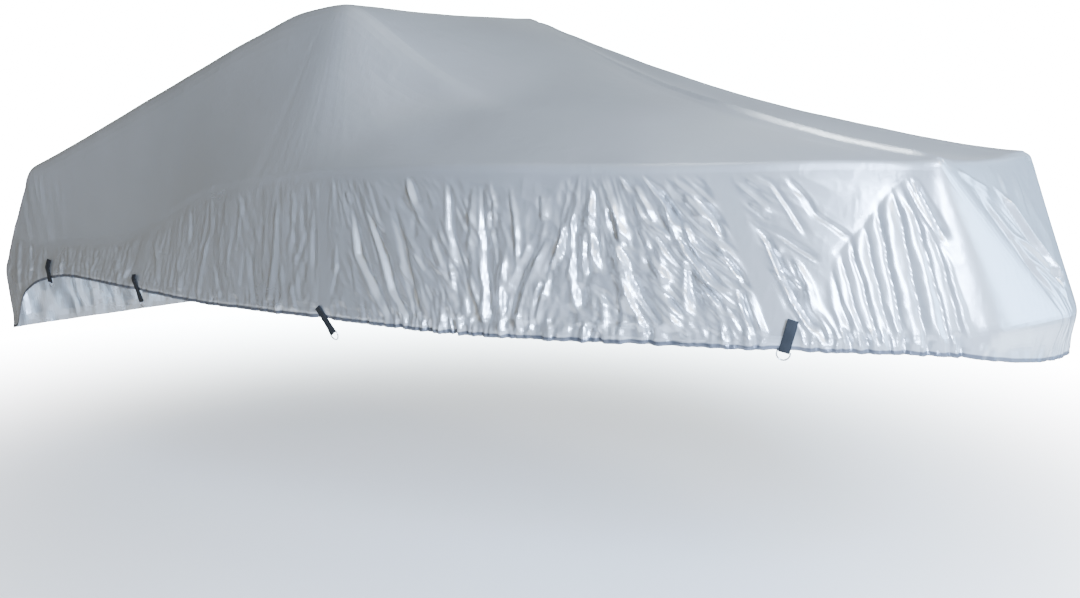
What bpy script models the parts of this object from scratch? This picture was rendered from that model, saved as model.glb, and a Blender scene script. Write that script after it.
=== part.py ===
"""Fitted storage cover of a small cabin boat: one silver cloth shell, eight webbing loops and their D-rings.

The shell is tabled from stern to bow as a boat is lofted. Lengths are in metres. The table counts x forward
from the transom and z up from the level of the hem amidships; the part's own origin is the point under the
windscreen ridge where the boat carries the cloth.
"""
import math
from collections import namedtuple

import bmesh
import bpy
from mathutils import Matrix, Vector
from mathutils.bvhtree import BVHTree

# Cloth
CLOTH_THICKNESS = 0.002
CLOTH_COLOR = (0.50, 0.52, 0.54)
WINDSCREEN_X = 2.778
WINDSCREEN_Z = 1.392
ORIGIN = Vector((WINDSCREEN_X, 0.0, WINDSCREEN_Z - CLOTH_THICKNESS))

# Net: columns run from the ridge down to the hem, rows run round the boat
COARSE_COLUMNS = 36
SIDE_CUTS = 3
END_COLUMNS = 8
END_CUTS = 2
SLOPE_ROWS = 4
WALL_ROWS = 3
HEM_ROWS = 2
RAIL_ROW = SLOPE_ROWS
GUNWALE_ROW = SLOPE_ROWS + WALL_ROWS
HEM_ROW = SLOPE_ROWS + WALL_ROWS + HEM_ROWS
TABLE_STEPS = 40
BISECTIONS = 40
TINY = 1e-6

# How far the stretched cloth sinks between what holds it up
COCKPIT_SAG = 0.030
SLOPE_SAG = 0.020
SLOPE_SAG_SHARE = 0.08
FOREDECK_SAG = 0.018
WINDSCREEN_ROUNDING = 0.30

# The tension ridge: a straight pull across the foredeck from the port end of the windscreen to the starboard
# corner of the bow rail. The cloth to starboard of it falls to the rail in one long arc.
TENSION_START_Y = 0.60
TENSION_DIP = 0.012
ARC_POWER = 1.9
ARC_BLEND_LENGTH = 1.0

# The nose leans a little to port, and the panels across both ends stand out a little
NOSE_SHIFT = 0.065
NOSE_SHIFT_START = 5.70
NOSE_SHIFT_LENGTH = 0.10
FRONT_BULGE = 0.012
STERN_BULGE = 0.015

# Each row is one section of the starboard half: where the ridge, the rail's edge, the gunwale and the hem pass,
# as (x, half width, z)
Section = namedtuple("Section", "ridge rail gunwale hem")
SECTIONS = (
    Section((0.480, 1.035, 0.600), (0.168, 1.022, 0.200), (0.000, 1.008, -0.062), (0.040, 0.990, -0.400)),
    Section((0.488, 1.036, 0.603), (0.280, 1.018, 0.190), (0.120, 1.014, -0.060), (0.150, 1.002, -0.375)),
    Section((0.500, 1.036, 0.608), (0.380, 1.014, 0.180), (0.258, 1.020, -0.070), (0.255, 1.010, -0.190)),
    Section((0.520, 1.034, 0.616), (0.470, 1.008, 0.175), (0.410, 1.026, -0.035), (0.410, 1.015, -0.095)),
    Section((0.600, 1.021, 0.647), (0.580, 1.000, 0.178), (0.570, 1.032, 0.002), (0.570, 1.020, -0.045)),
    Section((0.950, 0.967, 0.782), (0.950, 0.980, 0.215), (0.950, 1.050, 0.058), (0.950, 1.038, 0.012)),
    Section((1.400, 0.896, 0.956), (1.400, 0.975, 0.275), (1.400, 1.070, 0.065), (1.400, 1.058, 0.019)),
    Section((1.800, 0.834, 1.111), (1.780, 0.980, 0.410), (1.800, 1.085, 0.070), (1.800, 1.073, 0.024)),
    Section((2.250, 0.763, 1.283), (2.220, 0.998, 0.567), (2.270, 1.100, 0.077), (2.270, 1.088, 0.031)),
    Section((2.560, 0.713, 1.385), (2.520, 1.012, 0.622), (2.570, 1.109, 0.094), (2.570, 1.097, 0.048)),
    Section((2.800, 0.676, 1.410), (2.790, 1.022, 0.655), (2.830, 1.117, 0.108), (2.830, 1.105, 0.062)),
    Section((3.080, 0.633, 1.336), (3.080, 1.026, 0.690), (3.160, 1.124, 0.128), (3.160, 1.112, 0.082)),
    Section((3.360, 0.592, 1.250), (3.360, 1.022, 0.713), (3.600, 1.112, 0.145), (3.600, 1.100, 0.100)),
    Section((3.700, 0.558, 1.147), (3.680, 1.003, 0.735), (3.830, 1.092, 0.154), (3.830, 1.080, 0.108)),
    Section((4.070, 0.525, 1.046), (4.060, 0.958, 0.750), (4.130, 1.052, 0.172), (4.130, 1.040, 0.126)),
    Section((4.400, 0.497, 0.975), (4.390, 0.892, 0.761), (4.480, 0.984, 0.194), (4.480, 0.972, 0.148)),
    Section((4.660, 0.472, 0.928), (4.640, 0.830, 0.769), (4.900, 0.857, 0.216), (4.900, 0.845, 0.169)),
    Section((4.880, 0.452, 0.889), (4.840, 0.757, 0.777), (5.130, 0.765, 0.224), (5.130, 0.753, 0.176)),
    Section((5.100, 0.430, 0.853), (5.050, 0.672, 0.788), (5.340, 0.653, 0.230), (5.340, 0.641, 0.180)),
    Section((5.280, 0.410, 0.830), (5.250, 0.560, 0.798), (5.490, 0.546, 0.232), (5.490, 0.534, 0.179)),
    Section((5.420, 0.402, 0.816), (5.420, 0.462, 0.800), (5.645, 0.405, 0.236), (5.638, 0.395, 0.168)),
    Section((5.468, 0.400, 0.814), (5.482, 0.440, 0.800), (5.730, 0.312, 0.256), (5.708, 0.300, 0.148)),
    Section((5.490, 0.396, 0.813), (5.510, 0.425, 0.797), (5.800, 0.085, 0.266), (5.770, 0.125, 0.120)),
)

# Main folds of the side walls: where each one meets the hem, its half width, how far it stands out (or sinks
# in, if negative), and the part of the wall that it crosses, from 0 at the rail to 1 at the hem
Fold = namedtuple("Fold", "hem_x half_width height top bottom")
FOLDS = (
    Fold(0.18, 0.055, 0.014, 0.00, 1.10),
    Fold(0.29, 0.050, -0.012, 0.00, 1.10),
    Fold(0.44, 0.055, 0.013, 0.05, 1.10),
    Fold(0.74, 0.060, -0.010, 0.35, 1.15),
    Fold(0.90, 0.055, 0.010, 0.25, 1.15),
    Fold(1.08, 0.070, -0.009, 0.40, 1.20),
    Fold(1.26, 0.060, 0.011, 0.30, 1.15),
    Fold(1.44, 0.065, -0.012, 0.15, 1.15),
    Fold(1.86, 0.075, 0.014, 0.20, 1.15),
    Fold(2.02, 0.060, -0.012, 0.20, 1.20),
    Fold(2.20, 0.070, 0.012, 0.15, 1.10),
    Fold(2.38, 0.055, -0.012, 0.30, 1.20),
    Fold(2.52, 0.065, 0.013, 0.20, 1.15),
    Fold(2.72, 0.080, -0.012, 0.25, 1.20),
    Fold(2.90, 0.060, 0.012, 0.10, 1.15),
    Fold(3.06, 0.055, 0.018, 0.50, 1.30),
    Fold(3.36, 0.070, 0.009, 0.20, 1.10),
    Fold(3.49, 0.055, -0.020, 0.05, 1.20),
    Fold(3.59, 0.050, 0.014, 0.05, 1.15),
    Fold(3.67, 0.045, -0.021, 0.05, 1.20),
    Fold(3.78, 0.055, 0.018, 0.00, 1.30),
    Fold(3.89, 0.055, -0.014, 0.10, 1.15),
    Fold(4.01, 0.050, 0.016, 0.30, 1.25),
    Fold(4.14, 0.055, 0.024, 0.20, 1.30),
    Fold(4.24, 0.050, -0.018, 0.10, 1.20),
    Fold(4.33, 0.050, 0.021, 0.15, 1.20),
    Fold(4.44, 0.060, -0.016, 0.10, 1.20),
    Fold(4.56, 0.060, 0.022, 0.10, 1.20),
    Fold(4.67, 0.055, -0.018, 0.05, 1.15),
    Fold(4.79, 0.065, 0.024, 0.15, 1.20),
    Fold(4.91, 0.060, -0.020, 0.10, 1.20),
    Fold(5.02, 0.060, 0.018, 0.05, 1.15),
    Fold(5.27, 0.045, 0.012, 0.10, 1.15),
    Fold(5.345, 0.038, -0.016, 0.46, 1.25),
    Fold(5.405, 0.040, 0.018, 0.40, 1.25),
    Fold(5.46, 0.036, -0.018, 0.32, 1.25),
    Fold(5.51, 0.038, 0.018, 0.24, 1.25),
    Fold(5.56, 0.036, -0.018, 0.16, 1.25),
    Fold(5.605, 0.036, 0.015, 0.08, 1.25),
)
PORT_FOLD_SHIFT = 0.055
PORT_FOLD_SCALE = 0.985
PORT_FOLD_LIMIT = 5.2
FOLD_END_POWER = 0.6
CORNER_FADE = 0.02

# Low waves across the panel that hangs over the stern
STERN_WAVE_HEIGHT = 0.007
STERN_WAVES = 9.0
STERN_WAVE_START = 1.0
STERN_WAVE_FADE = 0.3

# Webbing loops: where each one crosses the hem, how far it reaches above and below the hem, and its lean
# (positive when its foot points forward, in degrees)
Loop = namedtuple("Loop", "name hem_x above below lean")
LOOPS = (
    Loop("1", 0.620, 0.110, 0.018, -20.0),
    Loop("2", 1.640, 0.080, 0.060, 9.0),
    Loop("3", 3.195, 0.055, 0.072, 30.0),
    Loop("4", 5.150, 0.105, 0.004, -15.0),
)
WEBBING_WIDTH = 0.038
WEBBING_THICKNESS = 0.0018
WEBBING_COLOR = (0.035, 0.040, 0.045)
WEBBING_STEPS = 9
TURN_STEPS = 7
OPEN_STEPS = 3
FLAT_HALF_WIDTH = 0.040
FLAT_FADE = 0.050

# Where the cloth is felt for under the webbing: across it, in widths, and along it, in metres
FEEL_ACROSS = (-0.5, -0.25, 0.0, 0.25, 0.5)
FEEL_ALONG = (-0.010, -0.005, 0.0, 0.005, 0.010)
FEEL_REACH = 0.08

# D-rings
RING_WIRE = 0.005
RING_INSIDE_WIDTH = 0.040
RING_INSIDE_HEIGHT = 0.026
RING_ARC_STEPS = 11
RING_SHOULDER = 0.0085
STEEL_COLOR = (0.62, 0.62, 0.64)

# Clearance between neighbouring pieces
GAP = 0.0003
SEAT = 0.0005


def clear_scene():
    for item in list(bpy.data.objects):
        bpy.data.objects.remove(item, do_unlink=True)


def material(name, color, roughness, metallic):
    made = bpy.data.materials.new(name)
    made.use_nodes = True
    shader = made.node_tree.nodes["Principled BSDF"]
    shader.inputs["Base Color"].default_value = (*color, 1.0)
    shader.inputs["Roughness"].default_value = roughness
    shader.inputs["Metallic"].default_value = metallic
    return made


def clamp(value, low=0.0, high=1.0):
    return max(low, min(high, value))


def smooth_step(value):
    value = clamp(value)
    return value * value * (3.0 - 2.0 * value)


def slope_at(values, index):
    """Slope of a curve through evenly spaced values that never overshoots them."""
    if index <= 0 or index >= len(values) - 1:
        return 0.5 * (values[min(index + 1, len(values) - 1)] - values[max(index - 1, 0)])
    before = values[index] - values[index - 1]
    after = values[index + 1] - values[index]
    if before * after <= 0.0:
        return 0.0
    return 2.0 * before * after / (before + after)


def curve_through(values, place):
    index = int(clamp(math.floor(place), 0, len(values) - 2))
    t = place - index
    first, last = values[index], values[index + 1]
    start, end = slope_at(values, index), slope_at(values, index + 1)
    return (first * (2 * t**3 - 3 * t**2 + 1) + start * (t**3 - 2 * t**2 + t)
            + last * (3 * t**2 - 2 * t**3) + end * (t**3 - t**2))


def tabled_point(line, place, side):
    """A point of one tabled line (ridge, rail, gunwale or hem); side is -1 to starboard and 1 to port."""
    columns = list(zip(*(getattr(row, line) for row in SECTIONS)))
    x, half_width, z = (curve_through(column, place) for column in columns)
    shift = NOSE_SHIFT * smooth_step((x - NOSE_SHIFT_START) / NOSE_SHIFT_LENGTH)
    return Vector((x, side * half_width + shift, z))


def even_places(count):
    """Places along the table that share out the side wall's length evenly."""
    last = len(SECTIONS) - 1
    steps = TABLE_STEPS * last
    places = [last * step / steps for step in range(steps + 1)]
    middles = [(tabled_point("rail", place, 1) + tabled_point("hem", place, 1)) / 2 for place in places]
    lengths = [0.0]
    for before, after in zip(middles, middles[1:]):
        lengths.append(lengths[-1] + (after - before).length)
    result = []
    step = 0
    for column in range(count + 1):
        wanted = lengths[-1] * column / count
        while step < steps - 1 and lengths[step + 1] < wanted:
            step += 1
        part = (wanted - lengths[step]) / max(lengths[step + 1] - lengths[step], TINY)
        result.append(places[step] + clamp(part) * (places[step + 1] - places[step]))
    return result


PLACES = even_places(COARSE_COLUMNS * (SIDE_CUTS + 1))


def along_to_place(along):
    """Turn the net's -1 (stern) to 1 (bow) into a place along the table."""
    column = (along + 1.0) / 2.0 * (len(PLACES) - 1)
    index = int(clamp(math.floor(column + TINY), 0, len(PLACES) - 2))
    return PLACES[index] + (column - index) * (PLACES[index + 1] - PLACES[index])


def place_at(line, x, low=0.0, high=len(SECTIONS) - 1.0):
    """Place along the table where a line passes a length x."""
    lengths = [getattr(row, line)[0] for row in SECTIONS]
    for _ in range(BISECTIONS):
        middle = (low + high) / 2
        if curve_through(lengths, middle) < x:
            low = middle
        else:
            high = middle
    return low


def tension_ridge(x):
    """Where the tension ridge passes at a length x, as (y, z)."""
    bow_x, bow_y, _ = SECTIONS[-1].ridge
    run = clamp((x - WINDSCREEN_X) / (bow_x - WINDSCREEN_X))
    y = TENSION_START_Y - run * (bow_y + TENSION_START_Y)
    z = tabled_point("ridge", place_at("ridge", x), 1).z
    return y, z - TENSION_DIP * math.sin(math.pi * run)


def drawn_to_tension_ridge(point, rail):
    """Lower a point between the starboard rail and the tension ridge onto the long arc of cloth."""
    if point.x <= WINDSCREEN_X:
        return point
    ridge_y, ridge_z = tension_ridge(point.x)
    if not rail.y < point.y < ridge_y:
        return point
    run = (point.y - rail.y) / (ridge_y - rail.y)
    arc_z = rail.z + (ridge_z - rail.z) * (1.0 - (1.0 - run) ** ARC_POWER)
    share = smooth_step((point.x - WINDSCREEN_X) / ARC_BLEND_LENGTH)
    return Vector((point.x, point.y, point.z + (arc_z - point.z) * share))


def deck_point(along, across):
    """The cloth between the two ridges: cockpit roof, windscreen ridge and foredeck."""
    place = along_to_place(along)
    starboard = tabled_point("ridge", place, -1)
    port = tabled_point("ridge", place, 1)
    point = starboard.lerp(port, (across + 1.0) / 2.0)
    middle = 1.0 - across * across
    if point.x < WINDSCREEN_X:
        stern_x = SECTIONS[0].ridge[0]
        run = clamp((point.x - stern_x) / (WINDSCREEN_X - stern_x))
        point.z -= middle * COCKPIT_SAG * math.sin(math.pi * run)
    else:
        ridge_y, ridge_z = tension_ridge(point.x)
        if point.y > ridge_y:
            run = clamp((point.y - ridge_y) / max(port.y - ridge_y, TINY))
            point.z = ridge_z + (port.z - ridge_z) * run - FOREDECK_SAG * math.sin(math.pi * run)
    near = clamp(1.0 - abs(point.x - WINDSCREEN_X) / WINDSCREEN_ROUNDING)
    highest = max(row.ridge[2] for row in SECTIONS)
    point.z -= middle * (highest - WINDSCREEN_Z) * near
    return drawn_to_tension_ridge(point, tabled_point("rail", place, -1))


def lines_at(along, across):
    """Ridge, rail, gunwale and hem points of the wall column that starts at this point of the deck's edge."""
    names = Section._fields
    if abs(across) > 1.0 - TINY:
        side = 1 if across > 0 else -1
        place = along_to_place(along)
        return [tabled_point(name, place, side) for name in names]
    last = len(SECTIONS) - 1 if along > 0 else 0
    bulge = FRONT_BULGE if along > 0 else -STERN_BULGE
    points = []
    for name in names:
        point = tabled_point(name, last, -1).lerp(tabled_point(name, last, 1), (across + 1.0) / 2.0)
        if name in ("gunwale", "hem"):
            point.x += bulge * (1.0 - across * across)
        points.append(point)
    points[0] = deck_point(along, across)
    return points


def wall_point(along, across, row):
    ridge, rail, gunwale, hem = lines_at(along, across)
    if row <= RAIL_ROW:
        part = row / SLOPE_ROWS
        point = ridge.lerp(rail, part)
        point.z -= 4.0 * part * (1.0 - part) * min(SLOPE_SAG, SLOPE_SAG_SHARE * (rail - ridge).length)
        return drawn_to_tension_ridge(point, rail) if across < 0 else point
    if row <= GUNWALE_ROW:
        return rail.lerp(gunwale, (row - RAIL_ROW) / WALL_ROWS)
    return gunwale.lerp(hem, (row - GUNWALE_ROW) / HEM_ROWS)


def fold_height(hem_x, part, side):
    """How far the main folds move the wall out at a column (its hem x) and a height (0 rail, 1 hem)."""
    if side > 0 and hem_x < PORT_FOLD_LIMIT:
        hem_x = hem_x * PORT_FOLD_SCALE + PORT_FOLD_SHIFT
    height = 0.0
    for fold in FOLDS:
        away = (hem_x - fold.hem_x) / fold.half_width
        if abs(away) < 1.0 and fold.top < part < fold.bottom:
            run = (part - fold.top) / (fold.bottom - fold.top)
            crest = 0.5 * (1.0 + math.cos(math.pi * away))
            height += fold.height * crest * math.sin(math.pi * run) ** FOLD_END_POWER
    return height


def flat_for_loop(hem_x):
    """1 where no webbing loop is near, 0 under one: the sewn webbing keeps the cloth flat."""
    nearest = min(abs(hem_x - loop.hem_x) for loop in LOOPS)
    return smooth_step((nearest - FLAT_HALF_WIDTH) / FLAT_FADE)


def stern_wave_height(across, part):
    wave = math.sin(STERN_WAVES * across + STERN_WAVE_START)
    return STERN_WAVE_HEIGHT * wave * math.sqrt(math.sin(math.pi * clamp(part)))


def cloth_point(along, across, row):
    """The outer face of the cloth at one node of the net."""
    if row == 0:
        return deck_point(along, across)
    point = wall_point(along, across, row)
    if row <= RAIL_ROW:
        return point
    part = (row - RAIL_ROW) / (HEM_ROW - RAIL_ROW)
    if abs(across) > 1.0 - TINY:
        side = 1 if across > 0 else -1
        ahead = wall_point(clamp(along + CORNER_FADE, -1, 1), across, row)
        behind = wall_point(clamp(along - CORNER_FADE, -1, 1), across, row)
        hem_x = lines_at(along, across)[3].x
        height = fold_height(hem_x, part, side) * flat_for_loop(hem_x)
        outward = Vector((ahead.y - behind.y, behind.x - ahead.x, 0.0)).normalized() * -side
        fade = smooth_step((1.0 - abs(along)) / CORNER_FADE)
    else:
        height = stern_wave_height(across, part) if along < 0 else 0.0
        outward = Vector((1.0 if along > 0 else -1.0, 0.0, 0.0))
        fade = smooth_step((1.0 - abs(across)) / STERN_WAVE_FADE)
    return point + outward * height * fade


def rim(mesh):
    return [edge for edge in mesh.edges if edge.is_boundary]


def let_down(mesh, rows):
    """Extend the net's rim by rows, each one unit lower, before its nodes are placed."""
    for _ in range(rows):
        made = bmesh.ops.extrude_edge_only(mesh, edges=rim(mesh))["geom"]
        for item in made:
            if isinstance(item, bmesh.types.BMVert):
                item.co.z -= 1.0


def make_cloth():
    """One sheet: a deck grid, sloping walls let down from it, and finer walls below the rail."""
    mesh = bmesh.new()
    bmesh.ops.create_grid(mesh, x_segments=COARSE_COLUMNS, y_segments=END_COLUMNS, size=1.0)
    let_down(mesh, SLOPE_ROWS)
    sides = [edge for edge in rim(mesh) if all(abs(vert.co.y) > 1.0 - TINY for vert in edge.verts)]
    ends = [edge for edge in rim(mesh) if edge not in sides]
    bmesh.ops.subdivide_edges(mesh, edges=sides, cuts=SIDE_CUTS)
    bmesh.ops.subdivide_edges(mesh, edges=ends, cuts=END_CUTS)
    let_down(mesh, WALL_ROWS + HEM_ROWS)
    for vert in mesh.verts:
        along, across, row = vert.co.x, vert.co.y, round(-vert.co.z)
        vert.co = cloth_point(along, across, row) - ORIGIN
    bmesh.ops.recalc_face_normals(mesh, faces=mesh.faces)
    if sum(face.normal.z * face.calc_area() for face in mesh.faces) < 0.0:
        bmesh.ops.reverse_faces(mesh, faces=mesh.faces)
    data = bpy.data.meshes.new("cover_cloth")
    mesh.to_mesh(data)
    tree = BVHTree.FromBMesh(mesh)
    mesh.free()
    data.shade_smooth()
    cover = bpy.data.objects.new("cover_cloth", data)
    bpy.context.collection.objects.link(cover)
    cover.data.materials.append(material("silver coated cloth", CLOTH_COLOR, 0.38, 0.25))
    solid = cover.modifiers.new("cloth thickness", "SOLIDIFY")
    solid.thickness = CLOTH_THICKNESS
    solid.offset = -1.0
    solid.use_even_offset = True
    return tree


def hem_frame(loop, side):
    """Hem point of a webbing loop with its forward, up and outward directions."""
    place = place_at("hem", loop.hem_x)
    step = 1.0 / TABLE_STEPS
    hem = tabled_point("hem", place, side)
    ahead = (tabled_point("hem", place + step, side) - tabled_point("hem", place - step, side)).normalized()
    rise = (tabled_point("gunwale", place, side) - hem).normalized()
    up = (rise - ahead * rise.dot(ahead)).normalized()
    outward = ahead.cross(up).normalized()
    if outward.y * side < 0:
        outward = -outward
    return hem - ORIGIN, ahead, up, outward


def cloth_height(tree, point, outward):
    """Height of the cloth over a point, measured outward."""
    hit = tree.ray_cast(point + outward * FEEL_REACH, -outward, 2.0 * FEEL_REACH)[0]
    return None if hit is None else (hit - point).dot(outward)


def webbing_rows(loop, side, tree):
    """Rows of a loop's webbing from top to bottom, as (centre, height over the cloth), and its directions."""
    hem, ahead, up, outward = hem_frame(loop, side)
    lean = math.radians(loop.lean)
    down = (-up * math.cos(lean) + ahead * math.sin(lean)).normalized()
    across = (ahead * math.cos(lean) + up * math.sin(lean)).normalized()
    rows = []
    height = 0.0
    for step in range(WEBBING_STEPS + 1):
        centre = hem + down * ((loop.above + loop.below) * step / WEBBING_STEPS - loop.above)
        felt = []
        for shift in FEEL_ACROSS:
            for slide in FEEL_ALONG:
                under = cloth_height(tree, centre + across * shift * WEBBING_WIDTH + down * slide, outward)
                if under is not None:
                    felt.append(under)
        if felt:
            height = max(felt) + SEAT
        rows.append((centre, height))
    return rows, across, outward, down


def webbing_path(rows, outward, down):
    """Middle line of the webbing, down one side of the ring's bar and up the other, and the bar's place."""
    bar_radius = RING_WIRE / 2 + GAP
    foot, foot_height = rows[-1]
    bar = foot + outward * (foot_height + bar_radius + WEBBING_THICKNESS)
    inner = rows[:-1]
    path = [centre + outward * (height + WEBBING_THICKNESS / 2) for centre, height in inner]
    turn_radius = bar_radius + WEBBING_THICKNESS / 2
    for step in range(TURN_STEPS + 1):
        angle = math.pi * step / TURN_STEPS
        path.append(bar + (down * math.sin(angle) - outward * math.cos(angle)) * turn_radius)
    for index, (centre, height) in enumerate(reversed(inner)):
        spread = (2.0 * bar_radius - GAP) * max(0.0, 1.0 - (index + 1) / OPEN_STEPS)
        path.append(centre + outward * (height + 1.5 * WEBBING_THICKNESS + GAP + spread))
    return path, bar


def make_loop(loop, side, tree):
    """Webbing that comes down the cloth, turns round the ring's bar and goes back up over itself."""
    rows, across, outward, down = webbing_rows(loop, side, tree)
    path, bar = webbing_path(rows, outward, down)
    mesh = bmesh.new()
    rings = []
    for index, point in enumerate(path):
        tangent = (path[min(index + 1, len(path) - 1)] - path[max(index - 1, 0)]).normalized()
        normal = across.cross(tangent).normalized()
        wide = across * WEBBING_WIDTH / 2
        thick = normal * WEBBING_THICKNESS / 2
        corners = (point - wide - thick, point + wide - thick, point + wide + thick, point - wide + thick)
        rings.append([mesh.verts.new(corner) for corner in corners])
    for before, after in zip(rings, rings[1:]):
        for corner in range(4):
            following = (corner + 1) % 4
            mesh.faces.new((before[corner], before[following], after[following], after[corner]))
    mesh.faces.new(rings[0])
    mesh.faces.new(list(reversed(rings[-1])))
    bmesh.ops.recalc_face_normals(mesh, faces=mesh.faces)
    name = ("starboard" if side < 0 else "port") + "_loop_" + loop.name
    data = bpy.data.meshes.new(name)
    mesh.to_mesh(data)
    mesh.free()
    webbing = bpy.data.objects.new(name, data)
    bpy.context.collection.objects.link(webbing)
    webbing.data.materials.append(material(name + " webbing", WEBBING_COLOR, 0.75, 0.0))
    make_ring(loop, side, bar, across, down, outward)


def make_ring(loop, side, bar, across, down, outward):
    """D-ring: a straight bar inside the webbing's turn and a bow that hangs below it."""
    name = ("starboard" if side < 0 else "port") + "_ring_" + loop.name
    wire = bpy.data.curves.new(name, "CURVE")
    wire.dimensions = "3D"
    wire.bevel_depth = RING_WIRE / 2
    wire.bevel_resolution = 2
    half = (RING_INSIDE_WIDTH + RING_WIRE) / 2
    rise = RING_INSIDE_HEIGHT + RING_WIRE - RING_SHOULDER
    points = [(-half, 0.0), (half, 0.0), (half, RING_SHOULDER)]
    for step in range(1, RING_ARC_STEPS):
        angle = math.pi * step / RING_ARC_STEPS
        points.append((half * math.cos(angle), RING_SHOULDER + rise * math.sin(angle)))
    points.append((-half, RING_SHOULDER))
    spline = wire.splines.new("POLY")
    spline.points.add(len(points) - 1)
    for slot, (x, y) in zip(spline.points, points):
        slot.co = (x, y, 0.0, 1.0)
    spline.use_cyclic_u = True
    ring = bpy.data.objects.new(name, wire)
    ring.matrix_world = Matrix((
        (across.x, down.x, outward.x, bar.x),
        (across.y, down.y, outward.y, bar.y),
        (across.z, down.z, outward.z, bar.z),
        (0.0, 0.0, 0.0, 1.0)))
    bpy.context.collection.objects.link(ring)
    ring.data.materials.append(material(name + " steel", STEEL_COLOR, 0.30, 1.0))


def main():
    clear_scene()
    tree = make_cloth()
    for side in (-1, 1):
        for loop in LOOPS:
            make_loop(loop, side, tree)


main()
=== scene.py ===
"""Fitted storage cover of a small cabin boat, in silver coated cloth, with webbing loops and D-rings.

Lengths are in metres. The shape tables count x forward from the transom and z up from the hem amidships, and
ORIGIN turns them into the frame's own coordinates. s is the length walked round the cover from its starboard
quarter: forward, over the bow, aft along the port side and over the stern. reach is the length down from the
rail, below zero on the slope above it. Places count the rows of SECTIONS, and across runs from starboard (-1)
to port (1).
"""
import math
from collections import namedtuple

import bmesh
import bpy
import numpy as np
from mathutils import Matrix, Vector


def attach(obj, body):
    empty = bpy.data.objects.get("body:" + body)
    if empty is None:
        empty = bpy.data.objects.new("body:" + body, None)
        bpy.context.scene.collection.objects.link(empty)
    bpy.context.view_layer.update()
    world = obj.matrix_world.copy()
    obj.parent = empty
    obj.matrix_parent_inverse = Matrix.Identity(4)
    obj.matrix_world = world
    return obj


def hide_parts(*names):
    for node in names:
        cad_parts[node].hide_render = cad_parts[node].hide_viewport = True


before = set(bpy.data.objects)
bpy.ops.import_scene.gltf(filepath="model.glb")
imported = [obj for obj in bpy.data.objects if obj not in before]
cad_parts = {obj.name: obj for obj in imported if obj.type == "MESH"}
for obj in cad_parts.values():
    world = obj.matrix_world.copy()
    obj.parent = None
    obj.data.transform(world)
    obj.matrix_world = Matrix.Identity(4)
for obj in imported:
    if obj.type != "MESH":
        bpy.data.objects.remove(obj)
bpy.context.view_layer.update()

bl_info = {
    "name": "Boat Cover",
    "version": (1, 0, 0),
    "blender": (4, 5, 0),
    "location": "3D View > Sidebar > Boat Cover",
    "description": "Builds a fitted boat cover of silver coated cloth with webbing loops and D-rings",
    "category": "Add Mesh",
}

# ---- Sizes ----
WINDSCREEN_X = 2.778
WINDSCREEN_Z = 1.392
ORIGIN = np.array((WINDSCREEN_X, 0.0, 1.390))
TINY = 1e-6

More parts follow.
